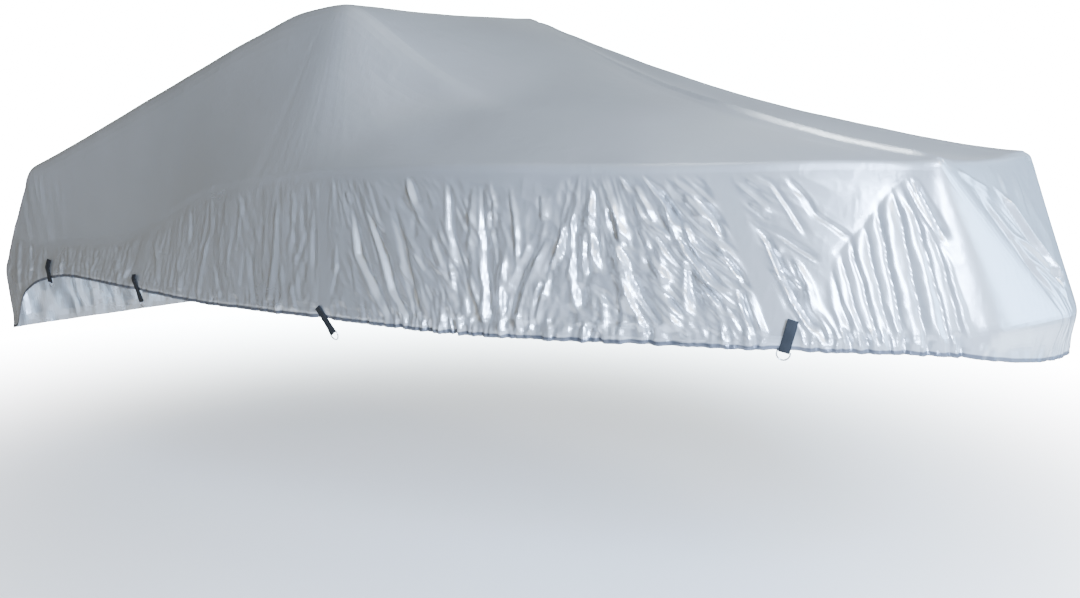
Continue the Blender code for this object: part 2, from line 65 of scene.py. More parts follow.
# Shape of the covered boat's top, as the solid has it. Each row is one section of the starboard half: where
# the ridge, the rail's edge, the gunwale and the hem pass, as (x, half width, z)
Section = namedtuple("Section", "ridge rail gunwale hem")
SECTIONS = (
    Section((0.480, 1.035, 0.600), (0.168, 1.022, 0.200), (0.000, 1.008, -0.062), (0.040, 0.990, -0.400)),
    Section((0.488, 1.036, 0.603), (0.280, 1.018, 0.190), (0.120, 1.014, -0.060), (0.150, 1.002, -0.375)),
    Section((0.500, 1.036, 0.608), (0.380, 1.014, 0.180), (0.258, 1.020, -0.070), (0.255, 1.010, -0.190)),
    Section((0.520, 1.034, 0.616), (0.470, 1.008, 0.175), (0.410, 1.026, -0.035), (0.410, 1.015, -0.095)),
    Section((0.600, 1.021, 0.647), (0.580, 1.000, 0.178), (0.570, 1.032, 0.002), (0.570, 1.020, -0.045)),
    Section((0.950, 0.967, 0.782), (0.950, 0.980, 0.215), (0.950, 1.050, 0.058), (0.950, 1.038, 0.012)),
    Section((1.400, 0.896, 0.956), (1.400, 0.975, 0.275), (1.400, 1.070, 0.065), (1.400, 1.058, 0.019)),
    Section((1.800, 0.834, 1.111), (1.780, 0.980, 0.410), (1.800, 1.085, 0.070), (1.800, 1.073, 0.024)),
    Section((2.250, 0.763, 1.283), (2.220, 0.998, 0.567), (2.270, 1.100, 0.077), (2.270, 1.088, 0.031)),
    Section((2.560, 0.713, 1.385), (2.520, 1.012, 0.622), (2.570, 1.109, 0.094), (2.570, 1.097, 0.048)),
    Section((2.800, 0.676, 1.410), (2.790, 1.022, 0.655), (2.830, 1.117, 0.108), (2.830, 1.105, 0.062)),
    Section((3.080, 0.633, 1.336), (3.080, 1.026, 0.690), (3.160, 1.124, 0.128), (3.160, 1.112, 0.082)),
    Section((3.360, 0.592, 1.250), (3.360, 1.022, 0.713), (3.600, 1.112, 0.145), (3.600, 1.100, 0.100)),
    Section((3.700, 0.558, 1.147), (3.680, 1.003, 0.735), (3.830, 1.092, 0.154), (3.830, 1.080, 0.108)),
    Section((4.070, 0.525, 1.046), (4.060, 0.958, 0.750), (4.130, 1.052, 0.172), (4.130, 1.040, 0.126)),
    Section((4.400, 0.497, 0.975), (4.390, 0.892, 0.761), (4.480, 0.984, 0.194), (4.480, 0.972, 0.148)),
    Section((4.660, 0.472, 0.928), (4.640, 0.830, 0.769), (4.900, 0.857, 0.216), (4.900, 0.845, 0.169)),
    Section((4.880, 0.452, 0.889), (4.840, 0.757, 0.777), (5.130, 0.765, 0.224), (5.130, 0.753, 0.176)),
    Section((5.100, 0.430, 0.853), (5.050, 0.672, 0.788), (5.340, 0.653, 0.230), (5.340, 0.641, 0.180)),
    Section((5.280, 0.410, 0.830), (5.250, 0.560, 0.798), (5.490, 0.546, 0.232), (5.490, 0.534, 0.179)),
    Section((5.420, 0.402, 0.816), (5.420, 0.462, 0.800), (5.645, 0.405, 0.236), (5.638, 0.395, 0.168)),
    Section((5.468, 0.400, 0.814), (5.482, 0.440, 0.800), (5.730, 0.312, 0.256), (5.708, 0.300, 0.148)),
    Section((5.490, 0.396, 0.813), (5.510, 0.425, 0.797), (5.800, 0.085, 0.266), (5.770, 0.125, 0.120)),
)
LAST = len(SECTIONS) - 1
STERN_RIDGE_X = SECTIONS[0].ridge[0]
NOSE_Z = SECTIONS[-1].gunwale[2]

# Row of the sections at which the aft and middle lengths of wall meet
PANEL_SEAM_ROW = 11.0

# How the cloth hangs between those lines
COCKPIT_SAG = 0.030
SLOPE_SAG = 0.020
SLOPE_SAG_SHARE = 0.08
FOREDECK_SAG = 0.018
WINDSCREEN_ROUNDING = 0.30
FRONT_BULGE = 0.012
STERN_BULGE = 0.015

# The fold that the pull gives the foredeck, from the windscreen's port corner to the bow's starboard corner
TENSION_START_Y = 0.60
TENSION_DIP = 0.012
ARC_POWER = 1.9
ARC_BLEND_LENGTH = 1.0

# The nose leans to port
NOSE_SHIFT = 0.065
NOSE_SHIFT_START = 5.70
NOSE_SHIFT_LENGTH = 0.10

# Relief of the top: its swells, the rays from the windscreen's corners, the fold itself, the streaks that run
# along it and the creases over the starboard quarter
BROAD_SWELL = 0.0050
SMALL_SWELL = 0.0016
CORNER_RAYS = 0.0010
FOLD_START_X = 3.1
FOLD_GROWTH = 1.6
FOLD_END_X = 5.53
FOLD_FADE = 0.16
FOLD_COSINE = 0.93
FOLD_RISE = 0.0230
FOLD_STREAKS = 0.0150
QUARTER_CREASES = 0.0075

# Rounding of the edges
RAIL_RADIUS = 0.018
GUNWALE_RADIUS = 0.030
CORNER_RADIUS = 0.040
ROUNDING = ((-1.0, 0.15), (-0.5, 0.20), (0.5, 0.20), (1.0, 0.15))

# Cloth sheets: how far the top reaches down over the walls and round the ends, and how the hem is turned
CLOTH_THICKNESS = 0.0007
TOP_FOOT = 0.030
WRAP = 0.040
TURN_UP = 0.034
TURN_GAP = 0.0035

# Nets of the sheets
SIDE_STEPS = 1600
END_STEPS = 160
SEARCH_STEPS = 1200
LINE_STEPS = 2200
HEM_ROWS = 10
TURN_ROWS = 7
SLOPE_ROWS = 24
SLOPE_UPPER = 15
SLOPE_NEAR = 0.070
DECK_ROWS = 86
WRAP_COLUMNS = 5
TOP_STEPS = (0.020, 0.0145)
TOP_STEP_CHANGE = (2.6, 0.4)
FINE_FROM = 5.140
FORE_STEP = 0.0036
WallNet = namedtuple("WallNet", "aft_step aft_rows middle_columns middle_rows wrap_step fore_rows")
WALL_NETS = {
    "starboard": WallNet(0.0095, 70, 404, 104, 0.0036, 124),
    "port": WallNet(0.0125, 60, 200, 66, 0.0062, 76),
}
EndNet = namedtuple("EndNet", "columns rows")
BOW_NET = EndNet(97, 90)
STERN_NET = EndNet(151, 84)
SOFT_ROUNDS = 8
SOFT_RIDGE_ROWS = 2.5
SOFT_END_COLUMNS = 2.0
TOP_EDGE_ROWS = 6.0

# What each sheet was cut to before it was hung, in metres and square metres, and how it is held
Cut = namedtuple("Cut", "width length area held")

# Webbing loops, named as their nodes: where each one crosses the hem, and its lean in degrees, positive when
# its foot points forward. The ring's wire is drawn a little thinner than its solid
Loop = namedtuple("Loop", "name hem_x lean")
LOOPS = (Loop("1", 0.620, -20.0), Loop("2", 1.640, 9.0), Loop("3", 3.195, 30.0), Loop("4", 5.150, -15.0))
SIDE_NAMES = {-1: "starboard", 1: "port"}
LOOP_FLAT = 0.030
LOOP_FADE = 0.045
LOOP_STEP = 1.0 / 40
WEBBING_EDGE = 0.0005
RING_WIRE = 0.005
WIRE_SHARE = 0.96
RING_INSIDE_WIDTH = 0.040
RING_INSIDE_HEIGHT = 0.026
RING_SHOULDER = 0.0085
RING_BAR_STEPS = 8
RING_SHOULDER_STEPS = 3
RING_ARC_STEPS = 24
WIRE_SIDES = 14

# Creases of the side wall. A positive rise stands out and a negative one sinks in; path is the crease's line
# from its top to its foot, as (x, z)
Crease = namedtuple("Crease", "rise half_width path")


def creases(*rows):
    """Creases from rows of a rise, a half width and the points of a path."""
    return [Crease(rise, half_width, tuple(path)) for rise, half_width, *path in rows]


CREASES = creases(
    # quarter and cockpit side
    (0.007, 0.026, (0.28, 0.19), (0.24, -0.12)),
    (-0.006, 0.022, (0.40, 0.18), (0.42, -0.04)),
    (0.006, 0.018, (0.80, 0.20), (0.88, 0.06)),
    (-0.005, 0.016, (0.96, 0.16), (1.08, 0.05)),
    (0.005, 0.016, (1.18, 0.20), (1.15, 0.04)),
    (-0.006, 0.018, (1.26, 0.26), (1.40, 0.14)),
    (0.007, 0.016, (1.36, 0.21), (1.46, 0.05)),
    (-0.006, 0.016, (1.58, 0.14), (1.50, 0.04)),
    (0.006, 0.015, (1.70, 0.30), (1.80, 0.20), (1.84, 0.09)),
    (-0.005, 0.016, (1.88, 0.36), (1.90, 0.22)),
    (0.006, 0.015, (1.99, 0.24), (2.07, 0.06)),
    (-0.006, 0.018, (2.06, 0.46), (2.10, 0.28)),
    (0.006, 0.016, (2.26, 0.38), (2.22, 0.06)),
    (-0.006, 0.016, (2.33, 0.24), (2.44, 0.07)),
    (0.007, 0.015, (2.50, 0.52), (2.53, 0.30)),
    (-0.006, 0.018, (2.60, 0.34), (2.72, 0.08)),
    (0.008, 0.017, (2.79, 0.58), (2.82, 0.32), (2.80, 0.09)),
    (-0.006, 0.016, (2.93, 0.56), (2.95, 0.30)),
    (0.010, 0.015, (2.97, 0.22), (3.00, 0.09)),
    # amidships
    (-0.014, 0.022, (3.32, 0.56), (3.39, 0.37), (3.51, 0.24), (3.62, 0.10)),
    (-0.016, 0.022, (3.38, 0.60), (3.52, 0.40), (3.61, 0.24), (3.72, 0.12)),
    (-0.015, 0.021, (3.54, 0.59), (3.64, 0.43), (3.70, 0.29), (3.76, 0.15)),
    (-0.010, 0.014, (3.61, 0.70), (3.69, 0.58)),
    (0.009, 0.014, (3.60, 0.68), (3.72, 0.50)),
    (0.009, 0.014, (3.77, 0.48), (3.86, 0.33)),
    (0.009, 0.013, (3.80, 0.50), (3.92, 0.36)),
    (-0.010, 0.016, (3.82, 0.69), (3.87, 0.50), (3.92, 0.40)),
    (-0.012, 0.018, (3.87, 0.50), (3.97, 0.30), (4.05, 0.16)),
    (0.009, 0.018, (3.94, 0.68), (3.97, 0.46), (4.00, 0.30)),
    (-0.012, 0.016, (3.98, 0.69), (4.04, 0.41), (4.09, 0.16)),
    (0.014, 0.018, (4.12, 0.46), (4.14, 0.28), (4.15, 0.12)),
    (0.010, 0.011, (4.11, 0.68), (4.15, 0.57), (4.19, 0.36)),
    (0.013, 0.014, (4.30, 0.52), (4.24, 0.33), (4.21, 0.13)),
    (-0.013, 0.016, (4.27, 0.52), (4.19, 0.32), (4.17, 0.15)),
    (0.013, 0.014, (4.36, 0.54), (4.32, 0.36), (4.29, 0.20)),
    (-0.010, 0.014, (4.37, 0.50), (4.29, 0.28), (4.28, 0.15)),
    (0.018, 0.022, (4.44, 0.66), (4.47, 0.50), (4.50, 0.38)),
    (-0.010, 0.015, (4.39, 0.64), (4.42, 0.40), (4.46, 0.24)),
    # the crumpled stretch ahead of amidships
    (0.017, 0.022, (4.51, 0.66), (4.56, 0.58), (4.60, 0.49)),
    (0.015, 0.018, (4.54, 0.53), (4.60, 0.44), (4.66, 0.25)),
    (-0.010, 0.012, (4.53, 0.74), (4.60, 0.68)),
    (-0.010, 0.012, (4.61, 0.75), (4.68, 0.68), (4.73, 0.64)),
    (0.011, 0.012, (4.60, 0.66), (4.65, 0.58), (4.75, 0.52)),
    (0.012, 0.012, (4.69, 0.63), (4.77, 0.52)),
    (-0.012, 0.013, (4.72, 0.66), (4.75, 0.59), (4.79, 0.56)),
    (0.013, 0.013, (4.77, 0.68), (4.87, 0.58)),
    (-0.012, 0.012, (4.81, 0.67), (4.88, 0.60), (4.93, 0.52)),
    (0.017, 0.018, (4.74, 0.53), (4.81, 0.47), (4.89, 0.39), (5.00, 0.30)),
    (-0.016, 0.015, (4.79, 0.52), (4.89, 0.42), (4.96, 0.35)),
    (0.014, 0.015, (4.88, 0.53), (4.98, 0.44), (5.05, 0.36)),
    (-0.013, 0.013, (4.91, 0.51), (4.98, 0.43), (5.04, 0.37)),
    (0.018, 0.026, (4.71, 0.50), (4.74, 0.38), (4.82, 0.21)),
    (-0.015, 0.020, (4.81, 0.48), (4.84, 0.36), (4.88, 0.25)),
    (-0.012, 0.014, (4.62, 0.43), (4.68, 0.32), (4.76, 0.23)),
    (0.012, 0.013, (4.58, 0.44), (4.64, 0.30), (4.70, 0.19)),
    (0.013, 0.014, (4.60, 0.33), (4.63, 0.21)),
    (-0.020, 0.026, (4.98, 0.54), (5.04, 0.43), (5.11, 0.34), (5.13, 0.26)),
    (0.014, 0.018, (5.02, 0.39), (5.10, 0.22)),
    (-0.012, 0.012, (4.99, 0.38), (5.07, 0.22)),
    (-0.014, 0.014, (5.01, 0.60), (5.07, 0.52), (5.12, 0.43), (5.17, 0.35), (5.25, 0.24)),
    (-0.006, 0.012, (5.07, 0.77), (5.16, 0.67), (5.20, 0.60)),
    (-0.005, 0.012, (5.03, 0.74), (5.10, 0.65), (5.18, 0.54)),
    (-0.006, 0.010, (5.08, 0.56), (5.22, 0.47)),
    (-0.006, 0.010, (5.17, 0.64), (5.30, 0.55)),
    (0.010, 0.014, (5.13, 0.50), (5.19, 0.40), (5.24, 0.28)),
    (-0.012, 0.012, (5.43, 0.76), (5.49, 0.65), (5.55, 0.53)),
    (0.008, 0.014, (5.41, 0.75), (5.47, 0.64), (5.53, 0.53)),
)
CREST_RADIUS = 0.0025
CREASE_DEPTH = 1.35

# Creases of the panel over the bow, as (s, z)
FRONT_CREASES = creases(
    (0.013, 0.018, (5.875, 0.790), (5.955, 0.730), (6.020, 0.680)),
    (0.016, 0.018, (6.050, 0.720), (6.108, 0.562), (6.162, 0.450), (6.220, 0.340)),
    (0.012, 0.016, (5.940, 0.575), (6.053, 0.483), (6.160, 0.420), (6.320, 0.360)),
    (-0.012, 0.020, (5.935, 0.740), (5.945, 0.600), (5.952, 0.460), (5.990, 0.330)),
    (-0.008, 0.024, (6.000, 0.680), (6.060, 0.560), (6.120, 0.470)),
    (0.004, 0.018, (6.130, 0.750), (6.082, 0.615)),
    (0.004, 0.018, (6.225, 0.745), (6.175, 0.590)),
    (0.007, 0.018, (5.950, 0.480), (6.060, 0.405), (6.220, 0.330)),
)
FRONT_WARP = 0.25

# Troughs of the pleats under the gathered bow seam: s and z at the top, s at the hem, how deep the pleat
# after it is, and how far across it the crown stands
Pleat = namedtuple("Pleat", "top_s top_z foot_s depth crown")
PLEATS = (
    Pleat(5.200, 0.380, 5.176, 0.5, 0.50),
    Pleat(5.258, 0.450, 5.226, 0.9, 0.35),
    Pleat(5.308, 0.510, 5.264, 0.7, 0.60),
    Pleat(5.350, 0.550, 5.316, 1.2, 0.30),
    Pleat(5.414, 0.600, 5.362, 0.8, 0.65),
    Pleat(5.470, 0.660, 5.412, 1.3, 0.35),
    Pleat(5.544, 0.715, 5.490, 1.2, 0.55),
    Pleat(5.588, 0.650, 5.560, 0.7, 0.40),
    Pleat(5.620, 0.560, 5.594, 0.9, 0.60),
    Pleat(5.655, 0.460, 5.640, 0.5, 0.50),
)
PLEAT_DEPTH = 0.0150
PLEAT_FOOT_Z = 0.200

# The gathered seam, as (x, z), with its groove, and how far the seam between two lengths of wall stands out
SEAM = ((5.432, 0.760), (5.380, 0.715), (5.345, 0.640), (5.300, 0.560), (5.255, 0.490))
SEAM_DEPTH = 0.0028
SEAM_HALF_WIDTH = 0.009
PANEL_SEAM_RISE = 0.0055

# How far the wrinkles between the creases lean from upright, along the side: (x, lean in degrees)
LEANS = (
    (0.0, 0.0), (0.8, 14.0), (1.35, 34.0), (1.6, -18.0), (1.9, 20.0), (2.2, -8.0), (2.5, 12.0), (3.1, 4.0),
    (3.5, 30.0), (3.9, 22.0), (4.10, 0.0), (4.32, -14.0), (4.5, 15.0), (4.75, 38.0), (5.05, 38.0),
    (5.25, 24.0), (5.6, 14.0))

# How strong the wrinkles between the creases are, along the side: (x, strength)
STRENGTHS = (
    (0.0, 0.75), (0.6, 0.65), (1.8, 0.60), (2.8, 0.60), (3.3, 0.55), (3.9, 0.75), (4.45, 1.05), (5.0, 1.0),
    (5.16, 0.45), (5.24, 0.16), (5.50, 0.12), (5.58, 0.08), (5.8, 0.04))

# Means of the noise's ridges and buckles, and how far the slope of a buckle reaches
RIDGED_MEAN = 0.55
BUCKLE_MEAN = 0.3
BUCKLE_WIDTH = 0.7

# The channel along the hem, and how strong the puckers of its drawn cord are: (x, strength)
CHANNEL_HEIGHT = 0.016
CHANNEL_RELIEF = 0.0012
STITCH_HALF_WIDTH = 0.0050
HEM_PUFF = 0.0100
PUCKER = 0.0125
PUCKERS = ((0.0, 0.5), (0.5, 0.8), (2.2, 0.8), (2.6, 0.5), (3.4, 0.6), (3.75, 1.2), (5.2, 1.2), (5.6, 1.0),
           (5.68, 0.45), (6.0, 0.3))
BOW_PUCKER_X = 5.75
STERN_PUCKER_X = 1.0
END_HEM_SEED = 74
BOW_PANEL_SHARE = 0.2

# The port side has the same creases, moved a little except near the bow, and noise of its own
STARBOARD_SEED = 11
PORT_SEED = 57
PORT_SHIFT = 0.055
PORT_SCALE = 0.985
PORT_SAME = 0.5

# Floor, light and camera, which stand in the frame's own coordinates
FLOOR_RADIUS = 16.0
FLOOR_SIDES = 96
FLOOR_FADE = (2.8, 8.5)
Light = namedtuple("Light", "name place target size power color spread")
LIGHTS = (
    Light("front_softbox", (6.6, 0.6, 3.0), (2.2, 0.0, -0.4), (2.6, 2.6), 250.0, (1.0, 0.98, 0.92), 180.0),
    Light("bow_softbox", (6.0, -2.6, 0.8), (2.0, -0.9, -1.0), (1.4, 2.2), 1060.0, (0.50, 0.68, 1.0), 180.0),
    Light("quarter_softbox", (6.8, 2.6, 0.2), (2.9, -0.3, -1.0), (3.0, 3.0), 318.0, (0.38, 0.65, 1.0), 180.0),
    Light("port_softbox", (4.4, 5.6, 0.5), (2.9, 0.0, -1.0), (4.0, 4.0), 26.0, (0.22, 0.60, 1.0), 180.0),
    Light("nose_softbox", (4.8, 0.9, -1.95), (2.95, -0.2, -1.17), (2.2, 0.8), 20.0, (0.70, 0.84, 1.0), 180.0),
    Light("fold_light", (1.33, -0.42, 0.65), (2.3, -0.22, -0.48), (0.34, 0.45), 2.2, (0.86, 0.95, 1.0), 56.0),
)
Lobe = namedtuple("Lobe", "toward start full strength")
BOW_LOBE = Lobe((0.85, -0.45, 0.25), 0.1, 1.0, 0.6)
PORT_LOBE = Lobe((-0.66, 0.75, 0.0), 0.86, 0.99, 0.95)
STERN_LOBE = Lobe((-0.86, -0.47, 0.20), 0.72, 0.98, 1.0)
STERN_SHARE = 0.06
RISING_LEVEL = (-0.1, 0.8, 0.152, 0.230)
ZENITH_LEVEL = (0.68, 1.0, 0.0, 0.30)
BACKDROP_LEVEL = 24.0
TINT_RISE = (-0.1, 0.7)
LOW_TINT = (0.96, 0.955, 0.985, 1.0)
HIGH_TINT = (0.985, 0.995, 0.89, 1.0)
WARM_TINT = (1.0, 0.965, 0.86, 1.0)
COOL_TINT = (0.84, 0.96, 1.0, 1.0)
SENSOR_WIDTH = 36.0
CAMERA_PLACE = (4.2848, -4.1651, -0.3844)
CAMERA_YAW = 41.188
CAMERA_PITCH = 9.799
CAMERA_ROLL = -0.331


# ---- Shape of the cloth ----
def smooth_step(value):
    value = np.clip(value, 0.0, 1.0)
    return value * value * (3.0 - 2.0 * value)


def tabled(table, x):
    """Value at x in a table of (x, value)."""
    return np.interp(x, *np.transpose(table))


def monotone_slopes(values):
    """Slopes of a curve through evenly spaced rows that never overshoots them."""
    steps = np.diff(values, axis=0)
    slopes = np.empty_like(values)
    slopes[0] = 0.5 * steps[0]
    slopes[-1] = 0.5 * steps[-1]
    before, after = steps[:-1], steps[1:]
    product = before * after
    total = np.where(product > 0.0, before + after, 1.0)
    slopes[1:-1] = np.where(product > 0.0, 2.0 * product / total, 0.0)
    return slopes


TABLES = {name: np.array([getattr(row, name) for row in SECTIONS]) for name in Section._fields}
SLOPES = {name: monotone_slopes(table) for name, table in TABLES.items()}


def half_line(name, places):
    """Tabled line at places along the boat, as rows of (x, half width, z)."""
    index = np.clip(np.floor(places).astype(int), 0, LAST - 1)
    t = (places - index)[..., None]
    first, last = TABLES[name][index], TABLES[name][index + 1]
    start, end = SLOPES[name][index], SLOPES[name][index + 1]
    return (first * (2 * t**3 - 3 * t**2 + 1) + start * (t**3 - 2 * t**2 + t)
            + last * (3 * t**2 - 2 * t**3) + end * (t**3 - t**2))


def side_line(name, places, side):
    """Tabled line on the starboard (-1) or the port side (1)."""
    points = half_line(name, places)
    shift = NOSE_SHIFT * smooth_step((points[..., 0] - NOSE_SHIFT_START) / NOSE_SHIFT_LENGTH)
    points[..., 1] = side * points[..., 1] + shift
    return points


def across_line(name, places, across):
    """Line at a share of the way from starboard (-1) to port (1)."""
    share = ((across + 1.0) / 2.0)[..., None]
    return side_line(name, places, -1) * (1.0 - share) + side_line(name, places, 1) * share


FINE_PLACES = np.linspace(0.0, LAST, LINE_STEPS + 1)
RIDGE_X = half_line("ridge", FINE_PLACES)[:, 0]


def tension_ridge(x):
    """Where the foredeck's fold passes at x, as (y, z)."""
    bow_x, bow_y, _ = SECTIONS[-1].ridge
    run = np.clip((x - WINDSCREEN_X) / (bow_x - WINDSCREEN_X), 0.0, 1.0)
    y = TENSION_START_Y - run * (bow_y + TENSION_START_Y)
    z = half_line("ridge", np.interp(x, RIDGE_X, FINE_PLACES))[..., 2]
    return y, z - TENSION_DIP * np.sin(np.pi * run)


def drawn_to_tension_ridge(points, rail):
    """Points ahead of the windscreen, drawn into one arc from the starboard rail to the foredeck's fold."""
    ridge_y, ridge_z = tension_ridge(points[..., 0])
    inside = (points[..., 0] > WINDSCREEN_X) & (rail[..., 1] < points[..., 1]) & (points[..., 1] < ridge_y)
    run = np.clip((points[..., 1] - rail[..., 1]) / np.maximum(ridge_y - rail[..., 1], TINY), 0.0, 1.0)
    arc_z = rail[..., 2] + (ridge_z - rail[..., 2]) * (1.0 - (1.0 - run) ** ARC_POWER)
    share = smooth_step((points[..., 0] - WINDSCREEN_X) / ARC_BLEND_LENGTH)
    z = points[..., 2] + (arc_z - points[..., 2]) * share
    points[..., 2] = np.where(inside, z, points[..., 2])
    return points


def deck(places, across):
    """The cloth between the ridges, across from starboard (-1) to port (1)."""
    points = across_line("ridge", places, across)
    x, y = points[..., 0], points[..., 1]
    middle = 1.0 - across * across
    run = np.clip((x - STERN_RIDGE_X) / (WINDSCREEN_X - STERN_RIDGE_X), 0.0, 1.0)
    behind = points[..., 2] - middle * COCKPIT_SAG * np.sin(np.pi * run)
    ridge_y, ridge_z = tension_ridge(x)
    port = side_line("ridge", places, 1)
    run = np.clip((y - ridge_y) / np.maximum(port[..., 1] - ridge_y, TINY), 0.0, 1.0)
    ahead = ridge_z + (port[..., 2] - ridge_z) * run - FOREDECK_SAG * np.sin(np.pi * run)
    ahead = np.where(y > ridge_y, ahead, points[..., 2])
    near = np.clip(1.0 - np.abs(x - WINDSCREEN_X) / WINDSCREEN_ROUNDING, 0.0, 1.0)
    highest = max(row.ridge[2] for row in SECTIONS)
    points[..., 2] = np.where(x < WINDSCREEN_X, behind, ahead) - middle * (highest - WINDSCREEN_Z) * near
    return drawn_to_tension_ridge(points, side_line("rail", places, -1))


def walk_round():
    """Places, shares across and lengths walked, once round the cover."""
    side = np.linspace(0.0, LAST, SIDE_STEPS + 1)
    end = np.linspace(-1.0, 1.0, END_STEPS + 1)
    places = np.concatenate((side, np.full(END_STEPS, LAST), side[::-1][1:], np.zeros(END_STEPS)))
    across = np.concatenate((np.full(SIDE_STEPS + 1, -1.0), end[1:], np.full(SIDE_STEPS, 1.0), end[::-1][1:]))
    middle = (across_line("rail", places, across) + across_line("hem", places, across)) / 2
    lengths = np.concatenate(((0.0,), np.cumsum(np.linalg.norm(np.diff(middle, axis=0), axis=1))))
    return places, across, lengths


WALK_PLACES, WALK_ACROSS, WALK_LENGTHS = walk_round()
SIDE_LENGTH = WALK_LENGTHS[SIDE_STEPS]
BOW_END = WALK_LENGTHS[SIDE_STEPS + END_STEPS]
PORT_END = WALK_LENGTHS[2 * SIDE_STEPS + END_STEPS]
ROUND_LENGTH = WALK_LENGTHS[-1]
STARBOARD_WALK = slice(SIDE_STEPS + 1)
PORT_WALK = slice(2 * SIDE_STEPS + END_STEPS, SIDE_STEPS + END_STEPS - 1, -1)


def starboard_s(places):
    return np.interp(places, WALK_PLACES[STARBOARD_WALK], WALK_LENGTHS[STARBOARD_WALK])


def port_s(places):
    return np.interp(places, WALK_PLACES[PORT_WALK], WALK_LENGTHS[PORT_WALK])


def skirt_lines(s):
    """Where the ridge, rail, gunwale and hem pass at s, and the share across."""
    s = np.mod(s, ROUND_LENGTH)
    places = np.interp(s, WALK_LENGTHS, WALK_PLACES)
    across = np.interp(s, WALK_LENGTHS, WALK_ACROSS)
    ridge = deck(places, across)
    rail, gunwale, hem = (across_line(name, places, across) for name in ("rail", "gunwale", "hem"))
    middle = 1.0 - across * across
    bulge = np.where(places > LAST / 2, FRONT_BULGE, -STERN_BULGE) * middle
    gunwale[..., 0] += bulge
    hem[..., 0] += bulge
    return ridge, rail, gunwale, hem, across


def lengths_at(s):
    return lengths_between(*skirt_lines(s)[:4])


def lengths_between(ridge, rail, gunwale, hem):
    """Lengths of the slope, the wall and the hem's own stretch."""
    return (np.linalg.norm(rail - ridge, axis=-1), np.linalg.norm(gunwale - rail, axis=-1),
            np.linalg.norm(hem - gunwale, axis=-1))


def skirt(s, reach):
    """The skirt's outer face, with sharp edges."""
    ridge, rail, gunwale, hem, across = skirt_lines(s)
    slope_length, wall_length, hem_length = lengths_between(ridge, rail, gunwale, hem)
    part = np.clip(1.0 + reach / slope_length, 0.0, 1.0)
    slope = ridge + (rail - ridge) * part[..., None]
    slope[..., 2] -= 4.0 * part * (1.0 - part) * np.minimum(SLOPE_SAG, SLOPE_SAG_SHARE * slope_length)
    drawn = drawn_to_tension_ridge(slope.copy(), rail)
    slope = np.where((across < 0.0)[..., None], drawn, slope)
    wall = rail + (gunwale - rail) * np.clip(reach / wall_length, 0.0, 1.0)[..., None]
    low = gunwale + (hem - gunwale) * np.clip((reach - wall_length) / hem_length, 0.0, 1.0)[..., None]
    points = np.where((reach < 0.0)[..., None], slope, wall)
    return np.where((reach > wall_length)[..., None], low, points)


def matched_reach(reach, own, other):
    """The reach at another column that is the same share of the way down as a reach at this one."""
    slope = reach * other[0] / own[0]
    wall = reach * other[1] / own[1]
    low = other[1] + (reach - own[1]) * other[2] / own[2]
    return np.where(reach < 0.0, slope, np.where(reach < own[1], wall, low))


def rounded_skirt(s, reach):
    """The skirt with its rail, gunwale and corners rounded."""
    own = lengths_at(s)
    slope_length, wall_length, hem_length = own
    share = np.clip(reach / wall_length, 0.0, 1.0)
    radius = RAIL_RADIUS + (GUNWALE_RADIUS - RAIL_RADIUS) * share
    radius = np.minimum(radius, np.maximum(reach + slope_length, 0.0))
    radius = np.minimum(radius, np.maximum(wall_length + hem_length - reach, 0.0))
    middle = skirt(s, reach)
    total = middle.copy()
    for step, weight in ROUNDING:
        total = total + weight * (skirt(s, reach + step * radius) - middle)
        beside = s + step * CORNER_RADIUS
        total = total + weight * (skirt(beside, matched_reach(reach, own, lengths_at(beside))) - middle)
    return total


def grid_normals(points):
    """Normals of a grid of points, from its own rows and columns."""
    along = np.gradient(points, axis=0)
    down = np.gradient(points, axis=1)
    normals = np.cross(down, along)
    return normals / np.maximum(np.linalg.norm(normals, axis=-1, keepdims=True), TINY)


# ---- Creases and wrinkles ----
def cloth_noise(x, y, seed):
    """Smooth noise from -1 to 1 over two coordinates."""
    turns = np.random.default_rng(seed).uniform(0.0, 2.0 * np.pi, (256, 256))
    left, low = np.floor(x).astype(int), np.floor(y).astype(int)
    u, v = x - left, y - low
    ease_u, ease_v = u**3 * (u * (u * 6 - 15) + 10), v**3 * (v * (v * 6 - 15) + 10)
    total = 0.0
    for column in (0, 1):
        for row in (0, 1):
            turn = turns[(left + column) & 255, (low + row) & 255]
            value = np.cos(turn) * (u - column) + np.sin(turn) * (v - row)
            weight = (ease_u if column else 1 - ease_u) * (ease_v if row else 1 - ease_v)
            total = total + value * weight
    return 1.4 * total


def ridged(x, y, seed):
    """Noise with sharp crests, from 0 to 1."""
    return (1.0 - np.abs(cloth_noise(x, y, seed))) ** 2


def ridges(height, x, y, seed):
    """Sharp crests of about a height, rising and falling evenly about 0."""
    return height * (ridged(x, y, seed) - RIDGED_MEAN)


def buckles(x, y, seed):
    """Hollows between sharp crests, as stiff cloth buckles, even about 0."""
    draws = np.random.default_rng(seed)
    jitter_x, jitter_y = draws.uniform(0.1, 0.9, (2, 64, 64))
    left, low = np.floor(x).astype(int), np.floor(y).astype(int)
    nearest = np.full(x.shape, 9.0)
    second = np.full(x.shape, 9.0)
    for column in (-1, 0, 1):
        for row in (-1, 0, 1):
            i, j = (left + column) & 63, (low + row) & 63
            away = np.hypot(left + column + jitter_x[i, j] - x, low + row + jitter_y[i, j] - y)
            second = np.minimum(second, np.maximum(nearest, away))
            nearest = np.minimum(nearest, away)
    return BUCKLE_MEAN - np.minimum(second - nearest, BUCKLE_WIDTH) / BUCKLE_WIDTH


